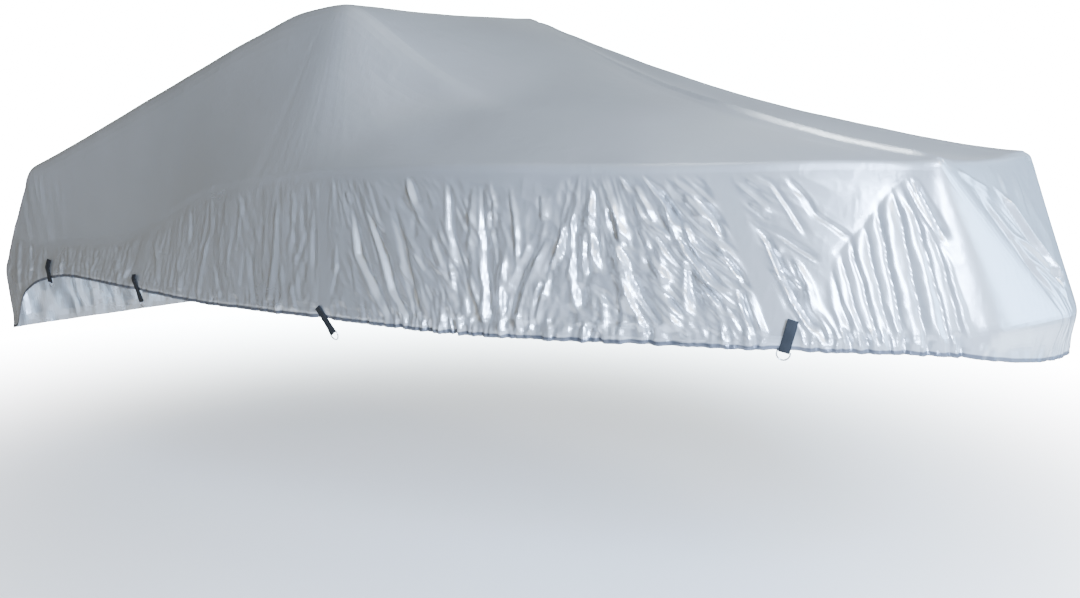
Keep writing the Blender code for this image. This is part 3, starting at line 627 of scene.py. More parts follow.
def side_s(x, z):
    """Length walked along the starboard side to the wall point at a tabled (x, z)."""
    s = np.linspace(0.0, SIDE_LENGTH, SEARCH_STEPS + 1)
    _, rail, gunwale, _, _ = skirt_lines(s)
    share = np.clip((rail[:, 2] - z) / (rail[:, 2] - gunwale[:, 2]), 0.0, 1.0)
    xs = rail[:, 0] + (gunwale[:, 0] - rail[:, 0]) * share
    return float(np.interp(x, np.maximum.accumulate(xs), s))


def to_wall(path):
    """Turn a tabled (x, z) path into (s, z)."""
    return tuple((side_s(x, z), z) for x, z in path)


def path_distance(s, z, path):
    """Signed distance to a path in the wall's plane and the share of the way along it."""
    best = np.full(s.shape, 1e9)
    signed = np.zeros(s.shape)
    share = np.zeros(s.shape)
    lengths = [math.dist(a, b) for a, b in zip(path, path[1:])]
    done = 0.0
    for (s0, z0), (s1, z1), length in zip(path, path[1:], lengths):
        along = np.array((s1 - s0, z1 - z0)) / length
        run = (s - s0) * along[0] + (z - z0) * along[1]
        held = np.clip(run, 0.0, length)
        away = np.hypot(s - s0 - held * along[0], z - z0 - held * along[1])
        side = np.sign((s - s0) * -along[1] + (z - z0) * along[0])
        nearer = away < best
        best = np.where(nearer, away, best)
        signed = np.where(nearer, away * -side, signed)
        share = np.where(nearer, (done + held) / sum(lengths), share)
        done += length
    return signed, share


def bump(value, middle, width):
    """A soft hill of height 1."""
    return np.exp(-((value - middle) / width) ** 2)


def crease_height(s, z, rows, seed, warp=1.0):
    """Sum of the creases at wall points."""
    warp_s = 0.007 * cloth_noise(s * 6.0, z * 5.0, seed) + 0.0015 * cloth_noise(s * 21.0, z * 13.0, seed + 1)
    warp_z = 0.008 * cloth_noise(s * 5.0, z * 6.0, seed + 2)
    height = np.zeros(s.shape)
    for number, crease in enumerate(rows):
        reach = 4.5 * crease.half_width
        lows = np.min(crease.path, axis=0) - reach
        highs = np.max(crease.path, axis=0) + reach
        near = (s > lows[0]) & (s < highs[0]) & (z > lows[1]) & (z < highs[1])
        if not near.any():
            continue
        near_s, near_z = s[near] + warp * warp_s[near], z[near] + warp * warp_z[near]
        away, share = path_distance(near_s, near_z, crease.path)
        width = crease.half_width * (0.44 + 0.38 * share)
        rounding = CREST_RADIUS + 0.12 * width
        # two creases in three are steeper on one side, and the third on the other
        steep = np.where(away * (1.0 if number % 3 else -1.0) > 0.0, 0.75, 1.35)
        edge = (np.hypot(away, rounding) - rounding) / (width * steep)
        core = 0.35 * np.exp(-1.3 * edge) + 0.65 * np.clip(1.0 - edge / 1.6, 0.0, 1.0)
        flank = bump(away / width, 1.9, 0.9) - 0.25 * bump(away / width, -2.0, 0.9)
        lean = -0.38 if number % 3 else 0.30
        foot = 0.30 if crease.path[-1][1] > 0.24 else 0.12
        fade = smooth_step(share / 0.28) * smooth_step((1.02 - share) / foot)
        uneven = 0.85 + 0.30 * cloth_noise(share * 3.1 + number, away * 0.0 + number, seed + 3)
        height[near] += CREASE_DEPTH * crease.rise * fade * uneven * (core + lean * flank)
    return height


def pleat_height(s, z):
    """Pleats gathered into the bow seam, between their tabled troughs."""
    top_s, top_z, foot_s = np.transpose(PLEATS)[:3]
    flat, low_z = s.reshape(-1), z.reshape(-1)
    share = (top_z[None, :] - low_z[:, None]) / (top_z - PLEAT_FOOT_Z)[None, :]
    places = (top_s + (foot_s - top_s) * np.clip(share, -0.2, 1.2)).T
    flat = (flat + 0.0080 * cloth_noise(flat * 7.0, low_z * 8.0, 91)
            + 0.0025 * cloth_noise(flat * 30.0, low_z * 25.0, 92))
    height = np.zeros(flat.shape)
    for index, pleat in enumerate(PLEATS[:-1]):
        low, high = places[index], places[index + 1]
        t = (flat - low) / np.maximum(high - low, TINY)
        lean = pleat.crown + 0.15 * cloth_noise(low_z * 6.0, low_z * 0.0 + index, 93)
        tent = np.minimum(t / lean, (1.0 - t) / (1.0 - lean))
        wave = np.sin(0.5 * np.pi * np.clip(tent, 0.0, 1.0)) ** 0.8
        top = pleat.top_z + (PLEATS[index + 1].top_z - pleat.top_z) * t
        rise = 0.8 + 0.5 * cloth_noise(low_z * 5.0 + index * 3.7, t, 94)
        own = PLEAT_DEPTH * pleat.depth * rise * (wave - 0.45) * smooth_step((top - low_z + 0.01) / 0.07)
        height = np.where((t >= 0.0) & (t < 1.0), own, height)
    edge = smooth_step((flat - places[0]) / 0.03) * smooth_step((places[-1] - flat) / 0.03)
    return (height * edge).reshape(s.shape)


def strewn_creases(seed, count, low, high, rise, at_hem):
    """Short straight creases at random places, leaning about as the wrinkles do, or rising from the hem."""
    draws = np.random.default_rng(seed)
    places = draws.uniform(low, high, count)
    _, rails, _, hems, _ = skirt_lines(places)
    lean_share = 0.4 if at_hem else 1.0
    rows = []
    for place, rail, hem in zip(places, rails, hems):
        strength = 1.0 if at_hem else tabled(STRENGTHS, rail[0])
        lean = math.radians(draws.normal(0.0, 12.0) + lean_share * tabled(LEANS, rail[0]))
        half = draws.uniform(0.018, 0.055) if at_hem else draws.uniform(0.030, 0.110)
        middle = hem[2] + 0.7 * half if at_hem else hem[2] + (rail[2] - hem[2]) * draws.uniform(0.15, 0.82)
        across, up = half * math.sin(lean), half * math.cos(lean)
        path = ((place - across, middle + up), (place + draws.normal(0.0, 0.004), middle),
                (place + across, middle - up))
        size = rise * strength * draws.uniform(0.5, 1.3) * draws.choice((-1.0, 1.0))
        rows.append(Crease(size, draws.uniform(0.009, 0.016), path))
    return rows


WALL_CREASES = ([crease._replace(path=to_wall(crease.path)) for crease in CREASES]
                + strewn_creases(5, 170, side_s(3.0, 0.4), side_s(5.16, 0.4), 0.0072, False)
                + strewn_creases(6, 110, 0.2, side_s(3.0, 0.4), 0.0048, False)
                + strewn_creases(8, 190, side_s(3.5, 0.4), side_s(5.66, 0.4), 0.0062, True)
                + strewn_creases(9, 90, 0.5, side_s(3.5, 0.4), 0.0045, True))
SEAM_PATH = to_wall(SEAM)
PANEL_SEAM = float(starboard_s(PANEL_SEAM_ROW))


def wrinkle_height(s, z, x, seed):
    """Fine wrinkles between the creases, leaning as the creases do."""
    lean = np.tan(np.radians(tabled(LEANS, x)))
    strength = tabled(STRENGTHS, x)
    a = s + lean * (z - 0.4) + 0.02 * cloth_noise(s * 4.0, z * 4.0, seed)
    broad = 0.0050 * cloth_noise(a * 4.3, z * 1.7, seed + 1)
    medium = ridges(0.0058, a * 8.5, z * 2.4, seed + 2)
    fine = ridges(0.0048, a * 23.0, z * 6.5, seed + 3)
    cross = ridges(0.0045, a * 9.0 + z * 12.0, z * 8.0 - a * 5.0, seed + 4)
    buckle = 0.0070 * buckles(a * 13.0, z * 5.0 - a * 2.0, seed + 6)
    low = smooth_step((0.62 - z) / 0.30)
    buckle += 0.0055 * (0.3 + 0.7 * low) * buckles(a * 29.0 + z * 3.0, z * 13.0 - a * 4.0, seed + 8)
    mask = smooth_step(0.5 + 1.1 * cloth_noise(s * 2.1, z * 3.0, seed + 5))
    return broad + strength * (medium * (0.4 + 0.6 * mask) + fine * (0.35 + 0.65 * mask)
                               + (cross + buckle * mask) * strength)


def hem_height(s, below, strength, seed):
    """The channel along the hem: a stitched groove, a soft tube and the puckers of its drawn cord."""
    away = below + CHANNEL_HEIGHT
    groove = -CHANNEL_RELIEF * bump(away, 0.0, STITCH_HALF_WIDTH)
    tube = CHANNEL_RELIEF * np.sin(np.pi * np.clip(away / CHANNEL_HEIGHT, 0.0, 1.0)) ** 0.7
    bent = s + 0.012 * cloth_noise(s * 7.0, below * 9.0, seed + 2)
    pleats = ridges(0.75, bent * 23.0, below * 5.0, seed)
    pleats += 0.35 * cloth_noise(bent * 47.0, below * 9.0, seed + 1)
    reach = 0.060 + 0.050 * (1.0 + cloth_noise(s * 9.0, 0.0 * s, seed + 3))
    band = np.where(away > 0.0, 0.55 + 0.45 * bump(away, 0.0, 0.012), bump(away, 0.0, reach))
    puff = HEM_PUFF * np.clip((below + 0.050) / 0.050, 0.0, 1.0)
    return groove + tube + puff + PUCKER * strength * pleats * band


def near_loop(hem_x):
    """1 away from the webbing loops and 0 under one: the sewn webbing keeps the cloth flat."""
    nearest = np.min(np.abs(hem_x[..., None] - np.array([loop.hem_x for loop in LOOPS])), axis=-1)
    return smooth_step((nearest - LOOP_FLAT) / LOOP_FADE)


def wall_relief(s, reach, points, below):
    """All that moves the cloth of a side wall in or out from the plain skirt."""
    hem_x = skirt_lines(s[:, :1])[3][..., 0]
    s = np.mod(s + 0.5, ROUND_LENGTH) - 0.5
    port = s > (SIDE_LENGTH + BOW_END) / 2
    plain = np.where(port, PORT_END - s, s)
    shift = smooth_step((SIDE_LENGTH - PORT_SAME - plain) / 0.3)
    run = np.where(port, plain + shift * (plain * (PORT_SCALE - 1.0) + PORT_SHIFT), plain)
    z, x = points[..., 2], points[..., 0]
    seed = PORT_SEED if port.any() else STARBOARD_SEED
    height = crease_height(run, z, WALL_CREASES, seed) + wrinkle_height(run, z, x, seed + 7)
    height += pleat_height(run, z)
    away, share = path_distance(run, z, SEAM_PATH)
    inside = smooth_step(share / 0.05) * smooth_step((1.0 - share) / 0.05)
    height -= SEAM_DEPTH * bump(away, 0.0, SEAM_HALF_WIDTH) * inside
    start = 0.030 + 0.020 * (1.0 + cloth_noise(run * 6.0, 0.0 * z, seed + 30))
    height *= smooth_step((reach - TOP_FOOT) / start)
    ease = smooth_step((0.01 - below - CHANNEL_HEIGHT) / 0.06)
    height = height * (0.50 + 0.50 * ease) + hem_height(run, below, tabled(PUCKERS, x), seed + 20)
    apart = np.abs(plain - PANEL_SEAM)
    seam = np.exp(-apart / 0.010) + 0.4 * bump(apart, 0.0, 0.030)
    height += PANEL_SEAM_RISE * seam * smooth_step((reach - 0.03) / 0.10)
    end = np.where(port, PORT_END - BOW_END, SIDE_LENGTH)
    edge = smooth_step(np.minimum(plain + WRAP, end + WRAP - plain) / 0.06)
    return height * near_loop(hem_x) * edge


def panel_relief(s, z, below):
    """Swells and buckles of a panel over the bow or the stern, more of them towards the hem."""
    low = smooth_step((0.75 + below) / 0.6)
    height = 0.014 * cloth_noise(s * 1.9, z * 1.7, 71)
    height += ridges(0.022, s * 3.4 + z * 1.6, z * 1.3, 72)
    height += ridges(0.006 + 0.010 * low, s * 9.0 - z * 3.0, z * 2.2, 73)
    return height + 0.008 * low * buckles(s * 12.0 + z * 2.0, z * 4.0, 77)


def faded(height, s, first, last, reach):
    """Relief that fades out at a panel's corners and at its upper edge."""
    edge = smooth_step(np.minimum(s - first - WRAP, last - WRAP - s) / 0.05)
    return height * edge * smooth_step((reach - reach[:, :1]) / 0.05)


def stern_relief(s, reach, points, below):
    """A loose panel with a drawn hem."""
    height = panel_relief(s, points[..., 2], below)
    height += hem_height(s, below, tabled(PUCKERS, STERN_PUCKER_X), END_HEM_SEED)
    return faded(height, s, PORT_END, ROUND_LENGTH, reach)


def bow_relief(s, reach, points, below):
    """A taut panel with rays from the nose and the creases that the pull gives it."""
    y, z = points[..., 1], points[..., 2]
    height = panel_relief(s, z, below) * BOW_PANEL_SHARE
    height += hem_height(s, below, tabled(PUCKERS, BOW_PUCKER_X), END_HEM_SEED)
    turn = np.arctan2(y - NOSE_SHIFT, z - NOSE_Z + 0.12)
    rays = ridges(0.0070, turn * 2.2 + 0.3 * cloth_noise(s * 5.0, z * 5.0, 76), z * 0.7, 75)
    rays += crease_height(s, z, FRONT_CREASES, 78, FRONT_WARP)
    height += rays * smooth_step((z - NOSE_Z) / 0.10)
    return faded(height, s, SIDE_LENGTH, BOW_END, reach)


def top_relief(points):
    """Relief of the taut top: swells, creases from the windscreen's corners and the foredeck's fold."""
    x, y, z = points[..., 0], points[..., 1], points[..., 2]
    height = BROAD_SWELL * cloth_noise(x * 1.3 + 0.6 * y, y * 1.9 - 0.4 * x, 31)
    height += SMALL_SWELL * cloth_noise(x * 4.1 - 2.0 * y, y * 4.7, 32)
    for corner_y, seed in ((-TENSION_START_Y, 33), (TENSION_START_Y, 34)):
        turn = np.arctan2(y - corner_y, x - WINDSCREEN_X)
        far = np.hypot(y - corner_y, x - WINDSCREEN_X)
        rays = ridged(turn * 7.0, far * 0.8, seed) - 0.45
        height += CORNER_RAYS * rays * smooth_step(far / 0.25) * smooth_step((1.5 - far) / 1.2)
    ridge_y, _ = tension_ridge(x)
    away = (y - ridge_y) * FOLD_COSINE
    run = smooth_step((x - FOLD_START_X) / FOLD_GROWTH) * smooth_step((FOLD_END_X - x) / FOLD_FADE)
    crest = np.where(away < 0.0, smooth_step((away + 0.027) / 0.029), np.exp(-np.maximum(away, 0.0) / 0.045))
    fold = FOLD_RISE * crest - 0.0040 * bump(away, -0.085, 0.040) - 0.0070 * bump(away, 0.100, 0.050)
    height += run * fold
    streaks = ridged(away * 3.4 + 0.35 * cloth_noise(x * 1.4, y * 2.2, 36), x * 0.50, 37) - 0.5
    port_y = side_line("ridge", np.interp(x, RIDGE_X, FINE_PLACES), 1)[..., 1]
    streaks = FOLD_STREAKS * run * streaks
    height += streaks * smooth_step(away / 0.05) * smooth_step((port_y - y - 0.02) / 0.20)
    quarter = QUARTER_CREASES * (ridged(x * 11.0 + 0.5 * z, z * 1.6, 38) - 0.5)
    quarter = quarter * smooth_step((0.95 - x) / 0.45) * smooth_step((-0.88 - y) / 0.10)
    height += quarter * smooth_step((0.60 - z) / 0.15)
    column, row = (smooth_step(np.minimum(np.arange(size), size - 1 - np.arange(size)) / TOP_EDGE_ROWS)
                   for size in points.shape[:2])
    return height * (column[:, None] * row[None, :])


# ---- Meshes ----
def link_object(data, name):
    piece = bpy.data.objects.new(name, data)
    bpy.context.collection.objects.link(piece)
    return piece


def link_mesh(mesh, name):
    data = bpy.data.meshes.new(name)
    mesh.to_mesh(data)
    mesh.free()
    data.shade_smooth()
    return link_object(data, name)


def grid_object(name, points, flat, above_hem):
    """A sheet over a grid of points, facing outwards, with its UV map and its height above the hem."""
    columns, rows = points.shape[0] - 1, points.shape[1] - 1
    mesh = bmesh.new()
    bmesh.ops.create_grid(mesh, x_segments=columns, y_segments=rows, size=1.0)
    for edge in mesh.edges:
        edge.smooth = not edge.is_boundary
    data = bpy.data.meshes.new(name)
    mesh.to_mesh(data)
    mesh.free()
    corners = np.empty(len(data.vertices) * 3)
    data.vertices.foreach_get("co", corners)
    corners = corners.reshape(-1, 3)
    column = np.rint((corners[:, 0] + 1.0) / 2.0 * columns).astype(int)
    row = np.rint((corners[:, 1] + 1.0) / 2.0 * rows).astype(int)
    data.vertices.foreach_set("co", (points[column, row] - ORIGIN).ravel())
    used = np.empty(len(data.loops), dtype=np.int32)
    data.loops.foreach_get("vertex_index", used)
    data.uv_layers.new(name="cloth").data.foreach_set("uv", flat[column, row][used].ravel())
    data.attributes.new("above_hem", "FLOAT", "POINT").data.foreach_set("value", above_hem[column, row])
    data.update()
    data.flip_normals()
    return link_object(data, name)


def column_lengths(stops, steps):
    """Places of a net's columns through all the stops, about a step apart between two of them."""
    places = [stops[0]]
    for first, last, step in zip(stops, stops[1:], steps):
        count = max(2, round((last - first) / step))
        places.extend(first + (last - first) * (index + 1) / count for index in range(count))
    return np.array(places)


def settled(height, rounds):
    """A grid of heights with what is finer than its own cells smoothed away."""
    for _ in range(rounds):
        for axis in (0, 1):
            rows = np.moveaxis(height, axis, 0).copy()
            rows[1:-1] = 0.25 * rows[:-2] + 0.5 * rows[1:-1] + 0.25 * rows[2:]
            height = np.moveaxis(rows, 0, axis)
    return height


def skirt_piece(name, s, wall_rows, relief, to_ridge=False, rounds=1):
    """A sheet of the skirt, from the top's foot or the ridge, down to the hem and up again inside it."""
    lines = skirt_lines(s)
    slope_length, wall_length, hem_length = (length[:, None] for length in lengths_between(*lines[:4]))
    upper = WRAP - slope_length if to_ridge else TOP_FOOT
    wall = upper + (wall_length - upper) * np.linspace(0.0, 1.0, wall_rows + 1)[None, :]
    low = wall_length + hem_length * np.linspace(0.0, 1.0, HEM_ROWS + 1)[None, 1:]
    reach = np.concatenate((wall, low), axis=1)
    foot = wall_length + hem_length
    columns = s[:, None]
    points = rounded_skirt(columns, reach)
    outward = grid_normals(points)
    below = reach - foot
    height = settled(relief(columns + np.zeros(reach.shape), reach, points, below), rounds)
    moved = points + outward * height[..., None]
    turned = moved[:, :-1 - TURN_ROWS:-1] - outward[:, :-1 - TURN_ROWS:-1] * TURN_GAP
    extra = np.linspace(0.0, TURN_UP, TURN_ROWS + 1)[1:][None, :] + foot
    flat = np.stack(np.broadcast_arrays(columns, -np.concatenate((reach, extra), axis=1)), axis=-1)
    above_hem = np.concatenate((-below, -below[:, -2:-2 - TURN_ROWS:-1]), axis=1)
    return grid_object(name, np.concatenate((moved, turned), axis=1), flat, above_hem)


def slope_reaches(slope_length):
    """Reaches from the foot of the top piece up to the ridge, closer together near the rail."""
    whole = slope_length + TOP_FOOT
    near = np.minimum(SLOPE_NEAR / whole, 0.5)
    t = np.linspace(0.0, 1.0, SLOPE_ROWS + 1)
    split = SLOPE_UPPER / SLOPE_ROWS
    share = np.where(t[None, :] < split, t[None, :] / split * (1.0 - near[:, None]),
                     1.0 - near[:, None] * (1.0 - t[None, :]) / (1.0 - split))
    return (-slope_length[:, None] + whole[:, None] * share)[:, ::-1]


def wrap_column(corner, far, offset, across):
    """One column of the top piece, an offset down over the bow or the stern."""
    sign = math.copysign(1.0, SIDE_LENGTH - corner + TINY)
    sides = []
    for s in (corner + sign * offset, far - sign * offset):
        slope = lengths_at(np.array([s]))[0]
        rows = slope_reaches(slope)[0]
        lift = 1.0 - (rows + slope[0]) / (TOP_FOOT + slope[0])
        sides.append(rounded_skirt(np.full(rows.shape, s), rows + offset * lift))
    shares = (across * (1.0 - 2.0 * offset / abs(far - corner)) + 1.0) / 2.0
    deck_s = corner + (far - corner) * shares
    over = rounded_skirt(deck_s, -lengths_at(deck_s)[0] + offset)
    return np.concatenate((sides[0][:-1], over, sides[1][::-1][1:]))


def top_points():
    """The sheet over the deck and its slopes, wrapped a little over the stern and the bow."""
    s_values = column_lengths((0.0, side_s(*TOP_STEP_CHANGE), SIDE_LENGTH), TOP_STEPS)
    places = np.interp(s_values, WALK_LENGTHS[STARBOARD_WALK], WALK_PLACES[STARBOARD_WALK])
    places[0], places[-1] = 0.0, float(LAST)
    across = np.linspace(-1.0, 1.0, DECK_ROWS + 1)
    starboard, port = starboard_s(places), port_s(places)
    starboard[-1], port[-1], port[0] = SIDE_LENGTH - TINY, BOW_END + TINY, PORT_END - TINY
    low, high = (rounded_skirt(s[:, None], slope_reaches(lengths_at(s)[0])) for s in (starboard, port))
    middle = deck(places[:, None] + 0.0 * across[None, :], across[None, :] + 0.0 * places[:, None])
    body = np.concatenate((low[:, :-1], middle, high[:, ::-1][:, 1:]), axis=1)
    offsets = WRAP * np.arange(1, WRAP_COLUMNS + 1) / WRAP_COLUMNS
    stern, bow = (np.stack([wrap_column(corner, far, offset, across) for offset in offsets])
                  for corner, far in ((ROUND_LENGTH, PORT_END), (SIDE_LENGTH, BOW_END)))
    lengths = np.concatenate((-offsets[::-1], s_values, SIDE_LENGTH + offsets))
    return np.concatenate((stern[::-1], body, bow), axis=0), lengths


def soften(points, rounds, where):
    """Let a grid's inner points settle towards their neighbours, as much as where says."""
    points = points.copy()
    for _ in range(rounds):
        mean = (points[:-2, 1:-1] + points[2:, 1:-1] + points[1:-1, :-2] + points[1:-1, 2:]) / 4
        points[1:-1, 1:-1] += (mean - points[1:-1, 1:-1]) * where[1:-1, 1:-1, None]
    return points


def edge_weights(shape):
    """How much of the top piece's net settles: only near its ridges and its ends."""
    columns, rows = np.arange(shape[0])[:, None], np.arange(shape[1])[None, :]
    weights = np.zeros(shape)
    for ridge_row in (SLOPE_ROWS, SLOPE_ROWS + DECK_ROWS):
        weights = np.maximum(weights, bump(rows, ridge_row, SOFT_RIDGE_ROWS))
    inner = (rows >= SLOPE_ROWS) & (rows <= SLOPE_ROWS + DECK_ROWS)
    for end_column in (WRAP_COLUMNS, shape[0] - 1 - WRAP_COLUMNS):
        weights = np.maximum(weights, bump(columns, end_column, SOFT_END_COLUMNS) * inner)
    return weights


# ---- Webbing loops and rings ----
def loop_frame(loop, side):
    """Hem point under a loop, with the directions across it, down it and out of the cloth."""
    place = np.interp(loop.hem_x, half_line("hem", FINE_PLACES)[:, 0], FINE_PLACES)
    hem, after, before, gunwale = (Vector(side_line(name, np.array([at]), side)[0]) for name, at in (
        ("hem", place), ("hem", place + LOOP_STEP), ("hem", place - LOOP_STEP), ("gunwale", place)))
    ahead = (after - before).normalized()
    rise = (gunwale - hem).normalized()
    up = (rise - ahead * rise.dot(ahead)).normalized()
    outward = ahead.cross(up).normalized()
    if outward.y * side < 0:
        outward = -outward
    lean = math.radians(loop.lean)
    down = (-up * math.cos(lean) + ahead * math.sin(lean)).normalized()
    across = (ahead * math.cos(lean) + up * math.sin(lean)).normalized()
    return hem - Vector(ORIGIN), across, down, outward


def make_webbing(loop, side, node):
    """The loop's own solid with its edges rounded, and a UV map in metres along the webbing."""
    hem, across, down, outward = loop_frame(loop, side)
    mesh = bmesh.new()
    mesh.from_mesh(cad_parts[node].data)
    bmesh.ops.remove_doubles(mesh, verts=mesh.verts, dist=1e-5)
    bmesh.ops.join_triangles(mesh, faces=mesh.faces, angle_face_threshold=0.5, angle_shape_threshold=1.0)
    uv = mesh.loops.layers.uv.new("cloth")
    for face in mesh.faces:
        for corner in face.loops:
            away = corner.vert.co - hem
            corner[uv].uv = (away.dot(across), away.dot(down) + away.dot(outward))
    edges = [edge for edge in mesh.edges if len(edge.link_faces) == 2 and edge.calc_face_angle(0.0) > 1.0]
    bmesh.ops.bevel(mesh, geom=edges, offset=WEBBING_EDGE, offset_type="OFFSET", segments=2, profile=0.5,
                    affect="EDGES", material=-1)
    return link_mesh(mesh, node + "_webbing")


def ring_points(bar, across, down):
    """The middle of the ring's wire: the bar, two shoulders and an arc."""
    half = (RING_INSIDE_WIDTH + RING_WIRE) / 2
    rise = RING_INSIDE_HEIGHT + RING_WIRE - RING_SHOULDER
    flat = [(-half + 2.0 * half * step / RING_BAR_STEPS, 0.0) for step in range(RING_BAR_STEPS + 1)]
    shoulder = [RING_SHOULDER * step / RING_SHOULDER_STEPS for step in range(1, RING_SHOULDER_STEPS + 1)]
    flat += [(half, depth) for depth in shoulder]
    for step in range(1, RING_ARC_STEPS):
        angle = math.pi * step / RING_ARC_STEPS
        flat.append((half * math.cos(angle), RING_SHOULDER + rise * math.sin(angle)))
    flat += [(-half, depth) for depth in reversed(shoulder)]
    return [bar + across * u + down * v for u, v in flat]


def make_ring(loop, side, node):
    """A round wire bent to the ring's line, where the ring's solid is."""
    hem, across, down, outward = loop_frame(loop, side)
    corners = [vert.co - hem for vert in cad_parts[node].data.vertices]
    spans = [[corner.dot(axis) for corner in corners] for axis in (across, down, outward)]
    bar = (hem + across * (max(spans[0]) + min(spans[0])) / 2 + down * (min(spans[1]) + RING_WIRE / 2)
           + outward * (max(spans[2]) + min(spans[2])) / 2)
    path = ring_points(bar, across, down)
    mesh = bmesh.new()
    hoops = []
    for index, point in enumerate(path):
        tangent = (path[(index + 1) % len(path)] - path[index - 1]).normalized()
        turn = Matrix((outward, outward.cross(tangent).normalized(), tangent)).transposed().to_4x4()
        made = bmesh.ops.create_circle(mesh, segments=WIRE_SIDES, radius=RING_WIRE / 2 * WIRE_SHARE,
                                       matrix=Matrix.Translation(point) @ turn)["verts"]
        hoops.append(list({edge for vert in made for edge in vert.link_edges}))
        if index:
            bmesh.ops.bridge_loops(mesh, edges=hoops[-2] + hoops[-1])
    bmesh.ops.bridge_loops(mesh, edges=hoops[-1] + hoops[0])
    bmesh.ops.recalc_face_normals(mesh, faces=mesh.faces)
    return link_mesh(mesh, node + "_wire")


# ---- Materials ----
# Heights above the hem where the band of painted shade of the turned-under hem ends and the duller, taut
# cloth begins, and how fine patterns are
HEM_SHADE_BAND = (0.013, 0.017)
TAUT_BAND = (0.80, 0.95)
COATING_ROUGHNESS = (0.24, 0.33)
TAUT_ROUGHNESS = 0.10
LARGE_CRINKLE = 14.0
SMALL_CRINKLE = 38.0
WEBBING_THREAD = 0.0016
STEEL_MARKS = 90.0
STEEL_ROUGHNESS = (0.16, 0.30)
DARK_STEEL = (0.34, 0.35, 0.37, 1.0)
PALE_STEEL = (0.55, 0.56, 0.58, 1.0)


def set_inputs(tree, node, values):
    """Set a node's inputs to plain values, or link them to other nodes' outputs."""
    for name, value in values.items():
        if isinstance(value, bpy.types.NodeSocket):
            tree.links.new(value, node.inputs[name])
        else:
            node.inputs[name].default_value = value


def add_node(tree, kind, values, **settings):
    """A shader node with its settings made before its inputs are set."""
    node = tree.nodes.new("ShaderNode" + kind)
    for name, value in settings.items():
        setattr(node, name, value)
    set_inputs(tree, node, values)
    return node


def math_node(tree, operation, *values):
    return add_node(tree, "Math", dict(enumerate(values)), operation=operation).outputs[0]


def mapped(tree, value, start, full, low, high, easing="LINEAR"):
    """A value taken from the range start to full to the range low to high."""
    ends = {"Value": value, "From Min": start, "From Max": full, "To Min": low, "To Max": high}
    return add_node(tree, "MapRange", ends, interpolation_type=easing).outputs[0]


def mixed(tree, factor, first, second):
    """A color between two colors."""
    parts = {"Factor": factor, "A": first, "B": second}
    return add_node(tree, "Mix", parts, data_type="RGBA").outputs["Result"]


def shade(color, share):
    """A setting's color, darker or lighter, as a socket takes it."""
    return (*(min(1.0, channel * share) for channel in color), 1.0)


def node_group(name, size_name, outputs):
    """An empty node group that takes a coordinate and the size of its pattern."""
    group = bpy.data.node_groups.new(name, "ShaderNodeTree")
    for label, kind in (("Coordinate", "Vector"), (size_name, "Float")):
        group.interface.new_socket(name=label, in_out="INPUT", socket_type="NodeSocket" + kind)
    for label in outputs:
        group.interface.new_socket(name=label, in_out="OUTPUT", socket_type="NodeSocketFloat")
    return group, group.nodes.new("NodeGroupInput").outputs, group.nodes.new("NodeGroupOutput")


def make_weave():
    """Plain weave on a coordinate in metres: threads pass over and under each other."""
    group, given, end = node_group("plain_weave", "Thread", ("Height",))
    parts = add_node(group, "SeparateXYZ", {0: given["Coordinate"]}).outputs
    turns = [math_node(group, "DIVIDE", parts[axis], given["Thread"]) for axis in ("X", "Y")]
    waves = [math_node(group, "SINE", math_node(group, "MULTIPLY", turn, math.pi)) for turn in turns]
    product = math_node(group, "MULTIPLY", *waves)
    set_inputs(group, end, {"Height": math_node(group, "MULTIPLY_ADD", product, 0.5, 0.5)})


def make_crinkle():
    """Tiny creases of coated cloth, as a height, and a slow change of tone."""
    group, given, end = node_group("fine_crinkle", "Scale", ("Height", "Tone"))
    place = given["Coordinate"]
    warp = add_node(group, "TexNoise", {"Vector": place, "Scale": 6.0}).outputs["Color"]
    shift = {0: warp, 1: (0.06, 0.06, 0.06), 2: place}
    bent = add_node(group, "VectorMath", shift, operation="MULTIPLY_ADD").outputs[0]
    look = {"Vector": bent, "Scale": given["Scale"], "Detail": 3.0, "Roughness": 0.45}
    cells = add_node(group, "TexNoise", look, noise_type="RIDGED_MULTIFRACTAL")
    tone = add_node(group, "TexNoise", {"Vector": place, "Scale": 1.6, "Detail": 4.0})
    set_inputs(group, end, {"Height": cells.outputs["Fac"], "Tone": tone.outputs["Fac"]})


GROUPS = {"plain_weave": make_weave, "fine_crinkle": make_crinkle}


def use_group(tree, name, coordinate, size):
    """Outputs of a node group, which is made on its first use."""
    if name not in bpy.data.node_groups:
        GROUPS[name]()
    node = tree.nodes.new("ShaderNodeGroup")
    node.node_tree = bpy.data.node_groups[name]
    set_inputs(tree, node, {0: coordinate, 1: size})
    return node.outputs


def new_material(name, values):
    made = bpy.data.materials.new(name)
    made.use_nodes = True
    shader = made.node_tree.nodes["Principled BSDF"]
    set_inputs(made.node_tree, shader, values)
    return made, made.node_tree, shader


def object_place(tree):
    return add_node(tree, "TexCoord", {}).outputs["Object"]


def cloth_uv(tree):
    return add_node(tree, "UVMap", {}, uv_map="cloth").outputs["UV"]


def bumped(tree, height, strength, distance, **normal):
    values = {"Height": height, "Strength": strength, "Distance": distance, **normal}
    return add_node(tree, "Bump", values).outputs["Normal"]


